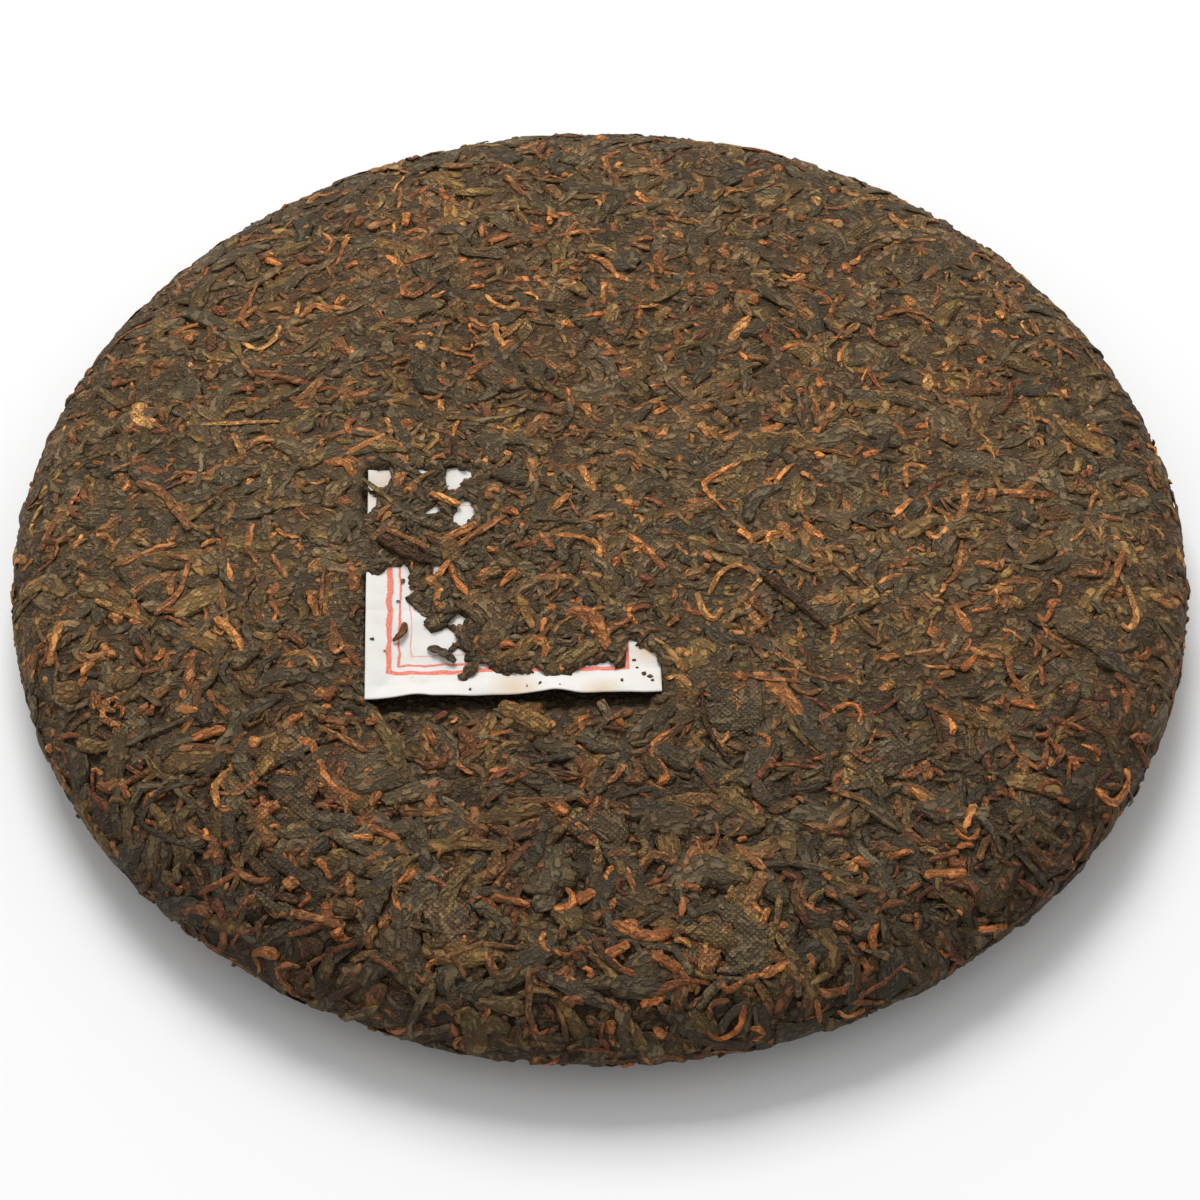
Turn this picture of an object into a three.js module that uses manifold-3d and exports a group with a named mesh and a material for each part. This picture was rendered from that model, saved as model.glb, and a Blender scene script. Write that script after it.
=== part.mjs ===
// A pressed cake of ripe pu erh tea with its square paper ticket, in millimetres, +Z up.
// The cake is a low dome of twisted leaves pressed into one piece, with a rounded rim,
// a flat foot ring and the hollow that the knot of the pressing cloth leaves underneath.
// The ticket lies in the top face, under a thin cover of leaves that leaves its left
// and bottom margins bare.

import * as THREE from 'three';
import { mergeVertices } from 'three/addons/utils/BufferGeometryUtils.js';
import Module from 'manifold-3d';

const wasm = await Module();
wasm.setup();

// Driving dimensions of the cake
const cakeRadius = 100;
const cakeHeight = 24;
const domeDrop = 3.5;
const shoulderRadius = 84;
const widestHeight = 10;
const footOuterRadius = 72;
const footInnerRadius = 27;
const hollowDepth = 8.5;
const standingRing = { inner: 42, outer: 60, lift: 0.2 };

// Handles of the section's curves: past the shoulder and below it, above and below the widest
// line, short of the foot and above it, and the hollow's two as shares of its radius
const shoulderHandle = { reach: 9, fall: 1.2 };
const rimHandle = { above: 5.5, below: 6 };
const footHandle = { reach: 19, rise: 0.4 };
const hollowHandle = { foot: 0.72, ceiling: 0.62 };
const sectionDivisions = 400;

// The bare core under the leaves: how far it lies inside, how rough it is, its mesh step
const coreInset = 0.6;
const coreRelief = 0.6;
const coverInset = 0.3;
const coverRelief = 0.2;
const coreStep = 7.4;
const coreJitter = 0.22;
const fewestCorners = 6;

// Leaves that are fused on, the largest first
const leafSpacing = 10.8;
const leafCount = { top: 96, under: 24 };
const leafLength = { longest: 23, shortest: 11 };
const leafWidth = { widest: 4.4, narrowest: 2.2 };
const leafRoot = 0.9;
const leafCrown = 0.5;
const leafStations = 4;
const leafEndWidth = 0.55;
const leafEndCrown = 0.6;
const leafShoulder = 0.62;
const leafLean = 0.2;
const leafBend = 0.25;
const leafRoll = 1.5;
const leafReach = { top: 110, under: 98 };
const bareRadius = { top: 0, under: 74 };
const paperMargin = 1;
const mostTries = 4000;

// Seeds of the repeatable rule
const seeds = { core: 11, top: 5, under: 8 };

// Paper ticket
const ticketWidth = 48.2;
const ticketHeight = 49;
const ticketCentre = new THREE.Vector2(-14.6, -13.7);
const ticketTurn = THREE.MathUtils.degToRad(1.3);
const paperThickness = 0.3;
const paperSink = 1.5;
const paperEdgeSink = 0.1;
const paperDipWidth = 7;
const paperWave = { height: 0.16, across: 0.55, upwards: 0.43 };
const buriedEdge = { from: -4, slope: 0.6 };
const edgeLift = 1.1;
const edgeLiftAt = [-16, 5];
const edgeLiftWidth = 4;
const edgeLiftReach = 5;
const paperSteps = 10;
const paperGap = 0.32;

// Cutting: a height above the whole cake, a run beyond the ticket, and how near points are one
const clearHeight = 40;
const outlineOverrun = 5;
const sameCorner = 1e-4;

// A repeatable random number from 0 to 1
function makeRandom(seed) {
  let state = seed;
  return () => {
    state = (state * 1664525 + 1013904223) % 4294967296;
    return state / 4294967296;
  };
}

// Half section of the outer form, from the crown over the rim to the knot hollow
function makeProfile() {
  const shoulderHeight = cakeHeight - domeDrop;
  const path = new THREE.CurvePath();
  path.add(new THREE.QuadraticBezierCurve(
    new THREE.Vector2(0, cakeHeight),
    new THREE.Vector2(shoulderRadius / 2, cakeHeight),
    new THREE.Vector2(shoulderRadius, shoulderHeight)));
  path.add(new THREE.CubicBezierCurve(
    new THREE.Vector2(shoulderRadius, shoulderHeight),
    new THREE.Vector2(shoulderRadius + shoulderHandle.reach, shoulderHeight - shoulderHandle.fall),
    new THREE.Vector2(cakeRadius, widestHeight + rimHandle.above),
    new THREE.Vector2(cakeRadius, widestHeight)));
  path.add(new THREE.CubicBezierCurve(
    new THREE.Vector2(cakeRadius, widestHeight),
    new THREE.Vector2(cakeRadius, widestHeight - rimHandle.below),
    new THREE.Vector2(footOuterRadius + footHandle.reach, footHandle.rise),
    new THREE.Vector2(footOuterRadius, 0)));
  path.add(new THREE.LineCurve(
    new THREE.Vector2(footOuterRadius, 0),
    new THREE.Vector2(footInnerRadius, 0)));
  path.add(new THREE.CubicBezierCurve(
    new THREE.Vector2(footInnerRadius, 0),
    new THREE.Vector2(footInnerRadius * hollowHandle.foot, 0),
    new THREE.Vector2(footInnerRadius * hollowHandle.ceiling, hollowDepth),
    new THREE.Vector2(0, hollowDepth)));
  path.arcLengthDivisions = sectionDivisions;
  return path;
}

const profile = makeProfile();
const profileLength = profile.getLength();

// Point of the outer form at a run along the half section, with its outward normal
function sectionAt(run) {
  const share = THREE.MathUtils.clamp(run / profileLength, 0, 1);
  const point = profile.getPointAt(share);
  const tangent = profile.getTangentAt(share);
  return { radius: point.x, height: point.y, outX: -tangent.y, outZ: tangent.x };
}

// Height of the top face over a point of the plan
function topHeight(x, y) {
  const radius = Math.min(Math.hypot(x, y), shoulderRadius);
  return cakeHeight - domeDrop * (radius / shoulderRadius) ** 2;
}

// Ticket coordinates of a point of the plan
function toTicket(x, y) {
  const local = new THREE.Vector2(x, y).sub(ticketCentre);
  return local.rotateAround(new THREE.Vector2(0, 0), -ticketTurn);
}

// Space point for a place on the unrolled top or underside, lifted along the normal
function onCake(side, x, y, lift) {
  const spread = Math.hypot(x, y);
  const run = side === 'top' ? spread : profileLength - spread;
  const section = sectionAt(run);
  const reach = section.radius + section.outX * lift;
  const turn = Math.atan2(y, x);
  return new THREE.Vector3(
    reach * Math.cos(turn),
    reach * Math.sin(turn),
    section.height + section.outZ * lift);
}

// Closed geometry from points and triangles
function toGeometry(points, triangles) {
  const geometry = new THREE.BufferGeometry();
  const flat = points.flatMap((point) => [point.x, point.y, point.z]);
  geometry.setAttribute('position', new THREE.Float32BufferAttribute(flat, 3));
  geometry.setIndex(triangles.flat());
  return geometry;
}

// Solid for joining and cutting, from any closed geometry
function toSolid(geometry) {
  const bare = geometry.clone();
  bare.deleteAttribute('normal');
  bare.deleteAttribute('uv');
  const merged = mergeVertices(bare, sameCorner);
  return new wasm.Manifold(new wasm.Mesh({
    numProp: 3,
    vertProperties: new Float32Array(merged.attributes.position.array),
    triVerts: new Uint32Array(merged.index.array),
  }));
}

// Geometry of a finished solid, moved by an offset
function fromSolid(solid, offset) {
  const mesh = solid.getMesh();
  const geometry = new THREE.BufferGeometry();
  geometry.setAttribute('position', new THREE.BufferAttribute(new Float32Array(mesh.vertProperties), 3));
  geometry.setIndex(new THREE.BufferAttribute(new Uint32Array(mesh.triVerts), 1));
  geometry.translate(offset.x, offset.y, offset.z);
  return geometry;
}

// Triangles between two rings of points that may differ in count, walked round by angle
function stitchRings(first, second, triangles) {
  let i = 0;
  let j = 0;
  while (i < first.count || j < second.count) {
    const nextI = (i + 1) / first.count;
    const nextJ = (j + 1) / second.count;
    const a = first.start + (i % first.count);
    const b = second.start + (j % second.count);
    if (j >= second.count || (i < first.count && nextI <= nextJ)) {
      triangles.push([a, b, first.start + ((i + 1) % first.count)]);
      i += 1;
    } else {
      triangles.push([a, b, second.start + ((j + 1) % second.count)]);
      j += 1;
    }
  }
}

// Lift of a core point: flat on the standing ring, smooth over the ticket, rough elsewhere
function coreLift(section, turn, bump) {
  const onFoot = section.radius > standingRing.inner && section.radius < standingRing.outer;
  if (onFoot && section.height < standingRing.lift) {
    return standingRing.lift;
  }
  const local = toTicket(section.radius * Math.cos(turn), section.radius * Math.sin(turn));
  const overTicket = section.height > widestHeight
    && Math.abs(local.x) < ticketWidth / 2 + coreStep && Math.abs(local.y) < ticketHeight / 2 + coreStep;
  return overTicket ? bump * coverRelief - coverInset : bump * coreRelief - coreInset;
}

// Core: rings of points along the half section, roughened at the size of the leaves
function makeCore() {
  const random = makeRandom(seeds.core);
  const ringCount = Math.round(profileLength / coreStep);
  const points = [];
  const triangles = [];
  let previous = null;
  for (let ring = 0; ring <= ringCount; ring += 1) {
    const run = (ring / ringCount) * profileLength;
    const radius = sectionAt(run).radius;
    const pole = ring === 0 || ring === ringCount;
    const count = pole ? 1 : Math.max(fewestCorners, Math.round((2 * Math.PI * radius) / coreStep));
    const current = { start: points.length, count };
    for (let k = 0; k < count; k += 1) {
      const jitterRun = pole ? 0 : (random() - 0.5) * 2 * coreJitter * coreStep;
      const jitterTurn = (random() - 0.5) * 2 * coreJitter;
      const bump = (random() - 0.5) * 2;
      const section = sectionAt(run + jitterRun);
      const turn = (2 * Math.PI * (k + jitterTurn)) / count;
      const lift = coreLift(section, turn, bump);
      const reach = section.radius + section.outX * lift;
      points.push(new THREE.Vector3(
        reach * Math.cos(turn),
        reach * Math.sin(turn),
        section.height + section.outZ * lift));
    }
    if (previous) {
      stitchRings(previous, current, triangles);
    }
    previous = current;
  }
  return toSolid(toGeometry(points, triangles));
}

// Leaf strip: a bent, tapered bar with four sides, its root sunk in the core
function makeLeaf(side, centre, heading, length, width, bend, roll) {
  const points = [];
  const triangles = [];
  const hand = side === 'top' ? 1 : -1;
  const place = (along, across, lift) => {
    const sideways = across * hand + bend * (along * along) / length;
    const x = centre.x + Math.cos(heading) * along - Math.sin(heading) * sideways;
    const y = centre.y + Math.sin(heading) * along + Math.cos(heading) * sideways;
    return onCake(side, x, y, lift);
  };
  points.push(place(-length / 2, 0, -leafRoot / 2));
  for (let k = 1; k < leafStations; k += 1) {
    const share = k / leafStations;
    const along = (share - 0.5) * length;
    const half = (width / 2) * THREE.MathUtils.lerp(leafEndWidth, 1, Math.sin(Math.PI * share));
    const crown = leafCrown * THREE.MathUtils.lerp(leafEndCrown, 1, Math.sin(Math.PI * share + roll));
    const lean = leafLean * Math.sin(roll);
    points.push(place(along, -half, -leafRoot));
    points.push(place(along, half, -leafRoot));
    points.push(place(along, half * (leafShoulder + lean), crown));
    points.push(place(along, -half * (leafShoulder - lean), crown));
  }
  points.push(place(length / 2, 0, -leafRoot / 2));
  const last = points.length - 1;
  for (let k = 0; k < 4; k += 1) {
    const next = (k + 1) % 4;
    triangles.push([0, 1 + next, 1 + k]);
    triangles.push([last, last - 4 + k, last - 4 + next]);
  }
  for (let station = 0; station < leafStations - 2; station += 1) {
    const base = 1 + station * 4;
    for (let k = 0; k < 4; k += 1) {
      const next = (k + 1) % 4;
      triangles.push([base + k, base + next, base + 4 + next]);
      triangles.push([base + k, base + 4 + next, base + 4 + k]);
    }
  }
  return toSolid(toGeometry(points, triangles));
}

// Leaves that show best, by name: middle of the leaf on the plan, its size and heading
const shownLeaves = {
  rolledLeaf: { x: -16.5, y: -62, length: 17, width: 4.2, heading: 20, bend: -0.18 },
  brokenTwig: { x: -41.5, y: -3, length: 9, width: 2.6, heading: -33, bend: 0.05 },
  darkTwig: { x: 32, y: -18.5, length: 16, width: 2.6, heading: -46, bend: 0.05 },
  blackLeaf: { x: 22, y: -41.5, length: 15, width: 6.5, heading: 22, bend: 0.1 },
  brownLeaf: { x: 37, y: -46, length: 13, width: 3.6, heading: -51, bend: 0.1 },
  frontStick: { x: 6.5, y: -82.5, length: 13, width: 2.6, heading: -13, bend: 0.2 },
  frontTwig: { x: 8, y: -93.5, length: 15, width: 3.6, heading: -4, bend: -0.05 },
  clothLeaf: { x: 23, y: -82, length: 12, width: 5, heading: -47, bend: 0.08 },
  leftTwig: { x: -71.5, y: -43.5, length: 14, width: 2.4, heading: 28, bend: 0 },
  leftArc: { x: -70, y: -60, length: 18, width: 2.4, heading: -62, bend: 0.3 },
  longBrown: { x: -48.5, y: -71, length: 12, width: 3, heading: -37, bend: 0 },
  bigHook: { x: 67, y: -47.5, length: 10, width: 2.4, heading: -58, bend: 0.35 },
  longOrange: { x: -55, y: 31.6, length: 12, width: 2.2, heading: -20, bend: 0 },
};

// Bare part of the ticket, in its own coordinates: the left and bottom margins
const halfTicketWidth = ticketWidth / 2;
const halfTicketHeight = ticketHeight / 2;
const outerLeft = -halfTicketWidth - outlineOverrun;
const outerBottom = -halfTicketHeight - outlineOverrun;
const outerRight = halfTicketWidth + outlineOverrun;
const bareOutline = [
  [outerLeft, outerBottom],
  [outerRight, outerBottom],
  [outerRight, -16],
  [21, -14],
  [18.5, -18],
  [14.5, -16.5],
  [10, -20],
  [4.5, -19.3],
  [-1.7, -19.5],
  [-9, -14.5],
  [-10.5, -11],
  [-14.5, -9.5],
  [-16.6, -4],
  [-17, 1],
  [-20, 2.6],
  [outerLeft, 0.5],
].map(([u, v]) => new THREE.Vector2(u, v));

// Whether a ticket point lies on the bare paper or within a margin of it
function nearBarePaper(point, margin) {
  let inside = false;
  let distance = Infinity;
  bareOutline.forEach((a, index) => {
    const b = bareOutline[(index + 1) % bareOutline.length];
    if ((a.y > point.y) !== (b.y > point.y)
      && point.x < ((b.x - a.x) * (point.y - a.y)) / (b.y - a.y) + a.x) {
      inside = !inside;
    }
    const side = b.clone().sub(a);
    const share = THREE.MathUtils.clamp(point.clone().sub(a).dot(side) / side.lengthSq(), 0, 1);
    distance = Math.min(distance, point.distanceTo(a.clone().addScaledVector(side, share)));
  });
  return inside || distance < margin;
}

// Whether a leaf would reach over the bare paper
function crossesTicket(centre, heading, length, margin) {
  for (let k = -2; k <= 2; k += 1) {
    const along = (k / 4) * length;
    const x = centre.x + Math.cos(heading) * along;
    const y = centre.y + Math.sin(heading) * along;
    if (nearBarePaper(toTicket(x, y), margin)) {
      return true;
    }
  }
  return false;
}

// Scattered leaves, the largest first, each kept apart from the earlier ones
function scatterLeaves(side, taken) {
  const random = makeRandom(seeds[side]);
  const count = leafCount[side];
  const reach = leafReach[side];
  const leaves = [];
  let tries = 0;
  while (leaves.length < count && tries < mostTries) {
    tries += 1;
    const share = leaves.length / count;
    const spread = Math.sqrt(THREE.MathUtils.lerp((bareRadius[side] / reach) ** 2, 1, random())) * reach;
    const turn = random() * 2 * Math.PI;
    const heading = random() * Math.PI;
    const bend = (2 * random() - 1) * leafBend;
    const roll = (2 * random() - 1) * leafRoll;
    const centre = new THREE.Vector2(spread * Math.cos(turn), spread * Math.sin(turn));
    const length = THREE.MathUtils.lerp(leafLength.longest, leafLength.shortest, share);
    const width = THREE.MathUtils.lerp(leafWidth.widest, leafWidth.narrowest, share);
    const crowded = taken.some((other) => other.distanceTo(centre) < leafSpacing);
    const onPaper = side === 'top' && crossesTicket(centre, heading, length, width / 2 + paperMargin);
    if (!crowded && !onPaper) {
      taken.push(centre);
      leaves.push(makeLeaf(side, centre, heading, length, width, bend, roll));
    }
  }
  return leaves;
}

// All fused leaves: the named ones first, then the scattered ones of both sides
function makeLeaves() {
  const taken = [];
  const leaves = Object.values(shownLeaves).map((leaf) => {
    const centre = new THREE.Vector2(leaf.x, leaf.y);
    taken.push(centre);
    const heading = THREE.MathUtils.degToRad(leaf.heading);
    return makeLeaf('top', centre, heading, leaf.length, leaf.width, leaf.bend, 0);
  });
  leaves.push(...scatterLeaves('top', taken));
  leaves.push(...scatterLeaves('under', []));
  return leaves;
}

// Height of the paper's middle above the cake's outer form, by ticket coordinates
function paperLift(u, v) {
  const fromBottom = v + halfTicketHeight;
  const fromLeft = u + halfTicketWidth + Math.max(0, v - buriedEdge.from) * buriedEdge.slope;
  const dip = THREE.MathUtils.smoothstep(Math.min(fromLeft, fromBottom), 0, paperDipWidth);
  const curl = edgeLiftAt.reduce(
    (sum, at) => sum + Math.exp(-(((u - at) / edgeLiftWidth) ** 2)), 0);
  const reach = THREE.MathUtils.clamp(1 - fromBottom / edgeLiftReach, 0, 1);
  const wave = paperWave.height * Math.sin(u * paperWave.across + 1) * Math.cos(v * paperWave.upwards);
  return -paperEdgeSink - (paperSink - paperEdgeSink) * dip + edgeLift * curl * reach * reach + wave;
}

// Sheet that follows the paper, grown by a gap, from below it to above it or to a height
function makeSheet(gap, flatTop) {
  const points = [];
  const triangles = [];
  const row = paperSteps + 1;
  const under = row * row;
  const corner = (layer, i, j) => layer * under + i * row + j;
  for (const layer of [0, 1]) {
    for (let i = 0; i < row; i += 1) {
      for (let j = 0; j < row; j += 1) {
        const u = (i / paperSteps - 0.5) * (ticketWidth + 2 * gap);
        const v = (j / paperSteps - 0.5) * (ticketHeight + 2 * gap);
        const spot = new THREE.Vector2(u, v).rotateAround(new THREE.Vector2(0, 0), ticketTurn);
        spot.add(ticketCentre);
        const half = paperThickness / 2 + gap;
        const middle = topHeight(spot.x, spot.y) + paperLift(u, v);
        const top = flatTop || middle + half;
        points.push(new THREE.Vector3(spot.x, spot.y, layer === 0 ? middle - half : top));
      }
    }
  }
  for (let i = 0; i < paperSteps; i += 1) {
    for (let j = 0; j < paperSteps; j += 1) {
      triangles.push([corner(0, i, j), corner(0, i + 1, j + 1), corner(0, i + 1, j)]);
      triangles.push([corner(0, i, j), corner(0, i, j + 1), corner(0, i + 1, j + 1)]);
      triangles.push([corner(1, i, j), corner(1, i + 1, j), corner(1, i + 1, j + 1)]);
      triangles.push([corner(1, i, j), corner(1, i + 1, j + 1), corner(1, i, j + 1)]);
    }
  }
  const walk = Array.from({ length: paperSteps }, (_, k) => k);
  const rim = [
    ...walk.map((k) => [k, 0]),
    ...walk.map((k) => [paperSteps, k]),
    ...walk.map((k) => [paperSteps - k, paperSteps]),
    ...walk.map((k) => [0, paperSteps - k]),
  ];
  rim.forEach(([i, j], index) => {
    const [ni, nj] = rim[(index + 1) % rim.length];
    triangles.push([corner(0, i, j), corner(0, ni, nj), corner(1, ni, nj)]);
    triangles.push([corner(0, i, j), corner(1, ni, nj), corner(1, i, j)]);
  });
  return toGeometry(points, triangles);
}

// Cutter over the bare margins of the ticket, down to just under the paper
function makeBareCutter() {
  const shape = new THREE.Shape(bareOutline);
  const column = new THREE.ExtrudeGeometry(shape, { depth: clearHeight, bevelEnabled: false });
  column.rotateZ(ticketTurn);
  column.translate(ticketCentre.x, ticketCentre.y, 0);
  return toSolid(makeSheet(paperGap, clearHeight)).intersect(toSolid(column));
}

// Largest closed body of a solid, without scraps and sealed pockets
function largestBody(solid) {
  return solid.decompose().reduce((best, body) => (body.volume() > best.volume() ? body : best));
}

// Cake: core and leaves in one, cut flat underneath and open round the ticket
function makeCake() {
  let cake = makeCore();
  makeLeaves().forEach((leaf) => {
    cake = cake.add(leaf);
  });
  const span = 3 * cakeRadius;
  const block = new THREE.BoxGeometry(span, span, clearHeight);
  block.translate(0, 0, clearHeight / 2);
  cake = cake.intersect(toSolid(block));
  cake = cake.subtract(toSolid(makeSheet(paperGap, 0)));
  cake = cake.subtract(makeBareCutter());
  return largestBody(cake);
}

// The pieces, moved so that the middle of the cake's footprint is the origin
const cakeSolid = makeCake();
const ticketSolid = toSolid(makeSheet(0, 0));
const bounds = cakeSolid.boundingBox();
const offset = new THREE.Vector3(
  -(bounds.min[0] + bounds.max[0]) / 2,
  -(bounds.min[1] + bounds.max[1]) / 2,
  -bounds.min[2]);

const teaMaterial = new THREE.MeshStandardMaterial({ color: '#4a3a2a', roughness: 0.85, metalness: 0 });
const paperMaterial = new THREE.MeshStandardMaterial({ color: '#e9e6e4', roughness: 0.9, metalness: 0 });

const group = new THREE.Group();

const teaCake = new THREE.Mesh(fromSolid(cakeSolid, offset), teaMaterial);
teaCake.name = 'tea_cake';
group.add(teaCake);

const paperTicket = new THREE.Mesh(fromSolid(ticketSolid, offset), paperMaterial);
paperTicket.name = 'paper_ticket';
group.add(paperTicket);

export default group;
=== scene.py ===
import math

import bpy
import numpy as np
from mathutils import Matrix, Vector


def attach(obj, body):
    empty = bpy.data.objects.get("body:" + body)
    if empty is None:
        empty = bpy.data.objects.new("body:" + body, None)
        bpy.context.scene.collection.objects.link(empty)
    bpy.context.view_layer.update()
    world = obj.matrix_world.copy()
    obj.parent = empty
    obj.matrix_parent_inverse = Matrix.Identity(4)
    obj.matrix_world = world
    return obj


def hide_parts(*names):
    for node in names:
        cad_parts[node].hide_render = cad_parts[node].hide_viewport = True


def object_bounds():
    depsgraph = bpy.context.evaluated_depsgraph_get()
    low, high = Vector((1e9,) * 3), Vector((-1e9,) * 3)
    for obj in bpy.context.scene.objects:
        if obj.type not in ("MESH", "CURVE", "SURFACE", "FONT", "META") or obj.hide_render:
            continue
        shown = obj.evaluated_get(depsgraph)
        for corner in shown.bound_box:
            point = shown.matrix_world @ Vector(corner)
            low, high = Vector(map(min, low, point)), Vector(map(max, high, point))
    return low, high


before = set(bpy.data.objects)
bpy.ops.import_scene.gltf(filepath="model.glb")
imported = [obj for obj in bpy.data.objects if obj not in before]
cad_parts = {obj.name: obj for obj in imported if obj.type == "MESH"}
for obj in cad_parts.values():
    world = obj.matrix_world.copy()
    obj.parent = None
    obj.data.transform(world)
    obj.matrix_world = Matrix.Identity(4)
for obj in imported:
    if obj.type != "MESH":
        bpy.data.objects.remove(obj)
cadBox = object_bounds()
print("stage 1: frame loaded")

millimetre = 0.001
tiny = 1e-9
seed = 11

# The cake's form in millimetres. Its radius and height come from the frame, less what leaves stand proud.
# The reach, drop, round and lift values place the handles of its section's curves.
cake = {
    "proud": 0.3,
    "domeDrop": 3.5,
    "shoulder": 84.0,
    "shoulderReach": 9.0,
    "shoulderDrop": 1.2,
    "rimRound": 5.5,
    "widestHeight": 10.0,
    "heelRound": 0.4,
    "heelReach": 9.0,
    "heelLift": 0.4,
    "footOuter": 72.0,
    "footInner": 27.0,
    "hollowLip": 0.72,
    "hollowWall": 0.62,
    "hollowDepth": 8.5,
    "curveSteps": (80, 60, 60, 30, 60),
    "floorGap": 0.02,
}
cake["radius"] = (cadBox[1].x - cadBox[0].x) / 2 / millimetre - cake["proud"]
cake["height"] = cadBox[1].z / millimetre - cake["proud"]

# The photo's camera looks down at the cake from the front
photoCamera = {
    "size": 1200.0,
    "elevation": 51.5,
    "distance": 720.0,
    "target": (0.0, -9.6, 12.0),
    "sensor": 36.0,
    "lens": 128.46,
    "halvings": 30,
}


def bezier(points, steps):
    # weights of each control point are the binomial terms of the curve's order
    t = np.linspace(0, 1, steps)[:, None]
    order = len(points) - 1
    return sum(
        math.comb(order, k) * (1 - t) ** (order - k) * t**k * np.array(p, float)
        for k, p in enumerate(points)
    )


def halfSection():
    # dome, rounded rim, flat foot and knot hollow, joined end to end, as radius and height
    c = cake
    crown = (0, c["height"])
    shoulder = (c["shoulder"], c["height"] - c["domeDrop"])
    widest = (c["radius"], c["widestHeight"])
    footOuter = (c["footOuter"], 0)
    footInner = (c["footInner"], 0)
    hollow = (0, c["hollowDepth"])
    overShoulder = (shoulder[0] + c["shoulderReach"], shoulder[1] - c["shoulderDrop"])
    aboveWidest = (widest[0], widest[1] + c["rimRound"])
    belowWidest = (widest[0], widest[1] * c["heelRound"])
    heel = (widest[0] - c["heelReach"], c["heelLift"])
    hollowLip = (footInner[0] * c["hollowLip"], 0)
    hollowWall = (footInner[0] * c["hollowWall"], c["hollowDepth"])
    curves = [
        (crown, (shoulder[0] / 2, crown[1]), shoulder),
        (shoulder, overShoulder, aboveWidest, widest),
        (widest, belowWidest, heel, footOuter),
        (footOuter, footInner),
        (footInner, hollowLip, hollowWall, hollow),
    ]
    parts = [bezier(curve, steps) for curve, steps in zip(curves, c["curveSteps"])]
    return np.vstack([parts[0]] + [part[1:] for part in parts[1:]])


section = halfSection()
sectionRun = np.concatenate([[0], np.cumsum(np.hypot(*np.diff(section, axis=0).T))])
sectionSlope = np.gradient(section, sectionRun, axis=0)
sectionSlope /= np.linalg.norm(sectionSlope, axis=1, keepdims=True)
wholeRun = sectionRun[-1]
widestRun = sectionRun[np.argmax(section[:, 0])]


def onCake(side, x, y, lift):
    # plan place (x, y) at distance d from the axis goes to run d along the section, then out by lift
    spread = np.hypot(x, y)
    run = np.where(side > 0, spread, wholeRun - spread)
    radius = np.interp(run, sectionRun, section[:, 0])
    height = np.interp(run, sectionRun, section[:, 1])
    outX = -np.interp(run, sectionRun, sectionSlope[:, 1])
    outZ = np.interp(run, sectionRun, sectionSlope[:, 0])
    reach = (radius + outX * lift) / np.maximum(spread, tiny)
    return np.stack([reach * x, reach * y, np.maximum(height + outZ * lift, cake["floorGap"])], -1)


def cameraAxes():
    # the camera's line of sight and its upward direction, both turned down by the elevation
    tilt = math.radians(photoCamera["elevation"])
    forward = np.array([0, math.cos(tilt), -math.sin(tilt)])
    upward = np.array([0, math.sin(tilt), math.cos(tilt)])
    return forward, upward


def fromPhoto(pixels):
    # a ray through each photo pixel is halved down onto the upper form, then unrolled to the plan
    forward, upward = cameraAxes()
    eye = np.array(photoCamera["target"]) - photoCamera["distance"] * forward
    focal = photoCamera["lens"] / photoCamera["sensor"] * photoCamera["size"]
    offset = (np.asarray(pixels, float) - photoCamera["size"] / 2) / focal
    ray = forward + offset[..., :1] * np.array([1.0, 0, 0]) - offset[..., 1:] * upward
    startAbove = 2.0
    high = (cake["height"] + startAbove - eye[2]) / ray[..., 2]
    low = (cake["widestHeight"] - eye[2]) / ray[..., 2]
    upper = sectionRun <= widestRun
    for _ in range(photoCamera["halvings"]):
        middle = (high + low) / 2
        spot = eye + ray * middle[..., None]
        form = np.interp(np.hypot(spot[..., 0], spot[..., 1]), section[upper, 0], section[upper, 1])
        above = spot[..., 2] > form
        high = np.where(above, middle, high)
        low = np.where(above, low, middle)
    spread = np.hypot(spot[..., 0], spot[..., 1])
    run = np.interp(spread, section[upper, 0], sectionRun[upper])
    return spot[..., :2] * (run / np.maximum(spread, tiny))[..., None]


def gridQuads(n):
    # faces between neighbour points of an n by n grid, and the points of its edge in order round it
    grid = np.arange(n * n).reshape(n, n)
    quads = np.stack([grid[:-1, :-1], grid[1:, :-1], grid[1:, 1:], grid[:-1, 1:]], -1).reshape(-1, 4)
    edge = np.concatenate([grid[:-1, 0], grid[-1, :-1], grid[:0:-1, -1], grid[0, :0:-1]])
    return quads, edge


def pieceFromArrays(name, points, quads, material, smooth=True, attributes=None, uv=None):
    # points in millimetres and four-cornered faces go into one mesh at the origin
    mesh = bpy.data.meshes.new(name)
    mesh.vertices.add(len(points))
    mesh.vertices.foreach_set("co", (points * millimetre).astype(np.float32).ravel())
    mesh.loops.add(quads.size)
    mesh.loops.foreach_set("vertex_index", quads.astype(np.int32).ravel())
    mesh.polygons.add(len(quads))
    mesh.polygons.foreach_set("loop_start", np.arange(0, quads.size, 4, dtype=np.int32))
    mesh.update(calc_edges=True)
    mesh.polygons.foreach_set("use_smooth", np.full(len(quads), smooth))
    for key, values in (attributes or {}).items():
        layer = mesh.attributes.new(key, "FLOAT", "POINT")
        layer.data.foreach_set("value", values.astype(np.float32).ravel())
    if uv is not None:
        layer = mesh.uv_layers.new(name="lengthwise")
        layer.data.foreach_set("uv", uv[quads.ravel()].astype(np.float32).ravel())
    mesh.validate()
    piece = bpy.data.objects.new(name, mesh)
    bpy.context.scene.collection.objects.link(piece)
    piece.data.materials.append(material)
    return piece


# Materials

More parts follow.
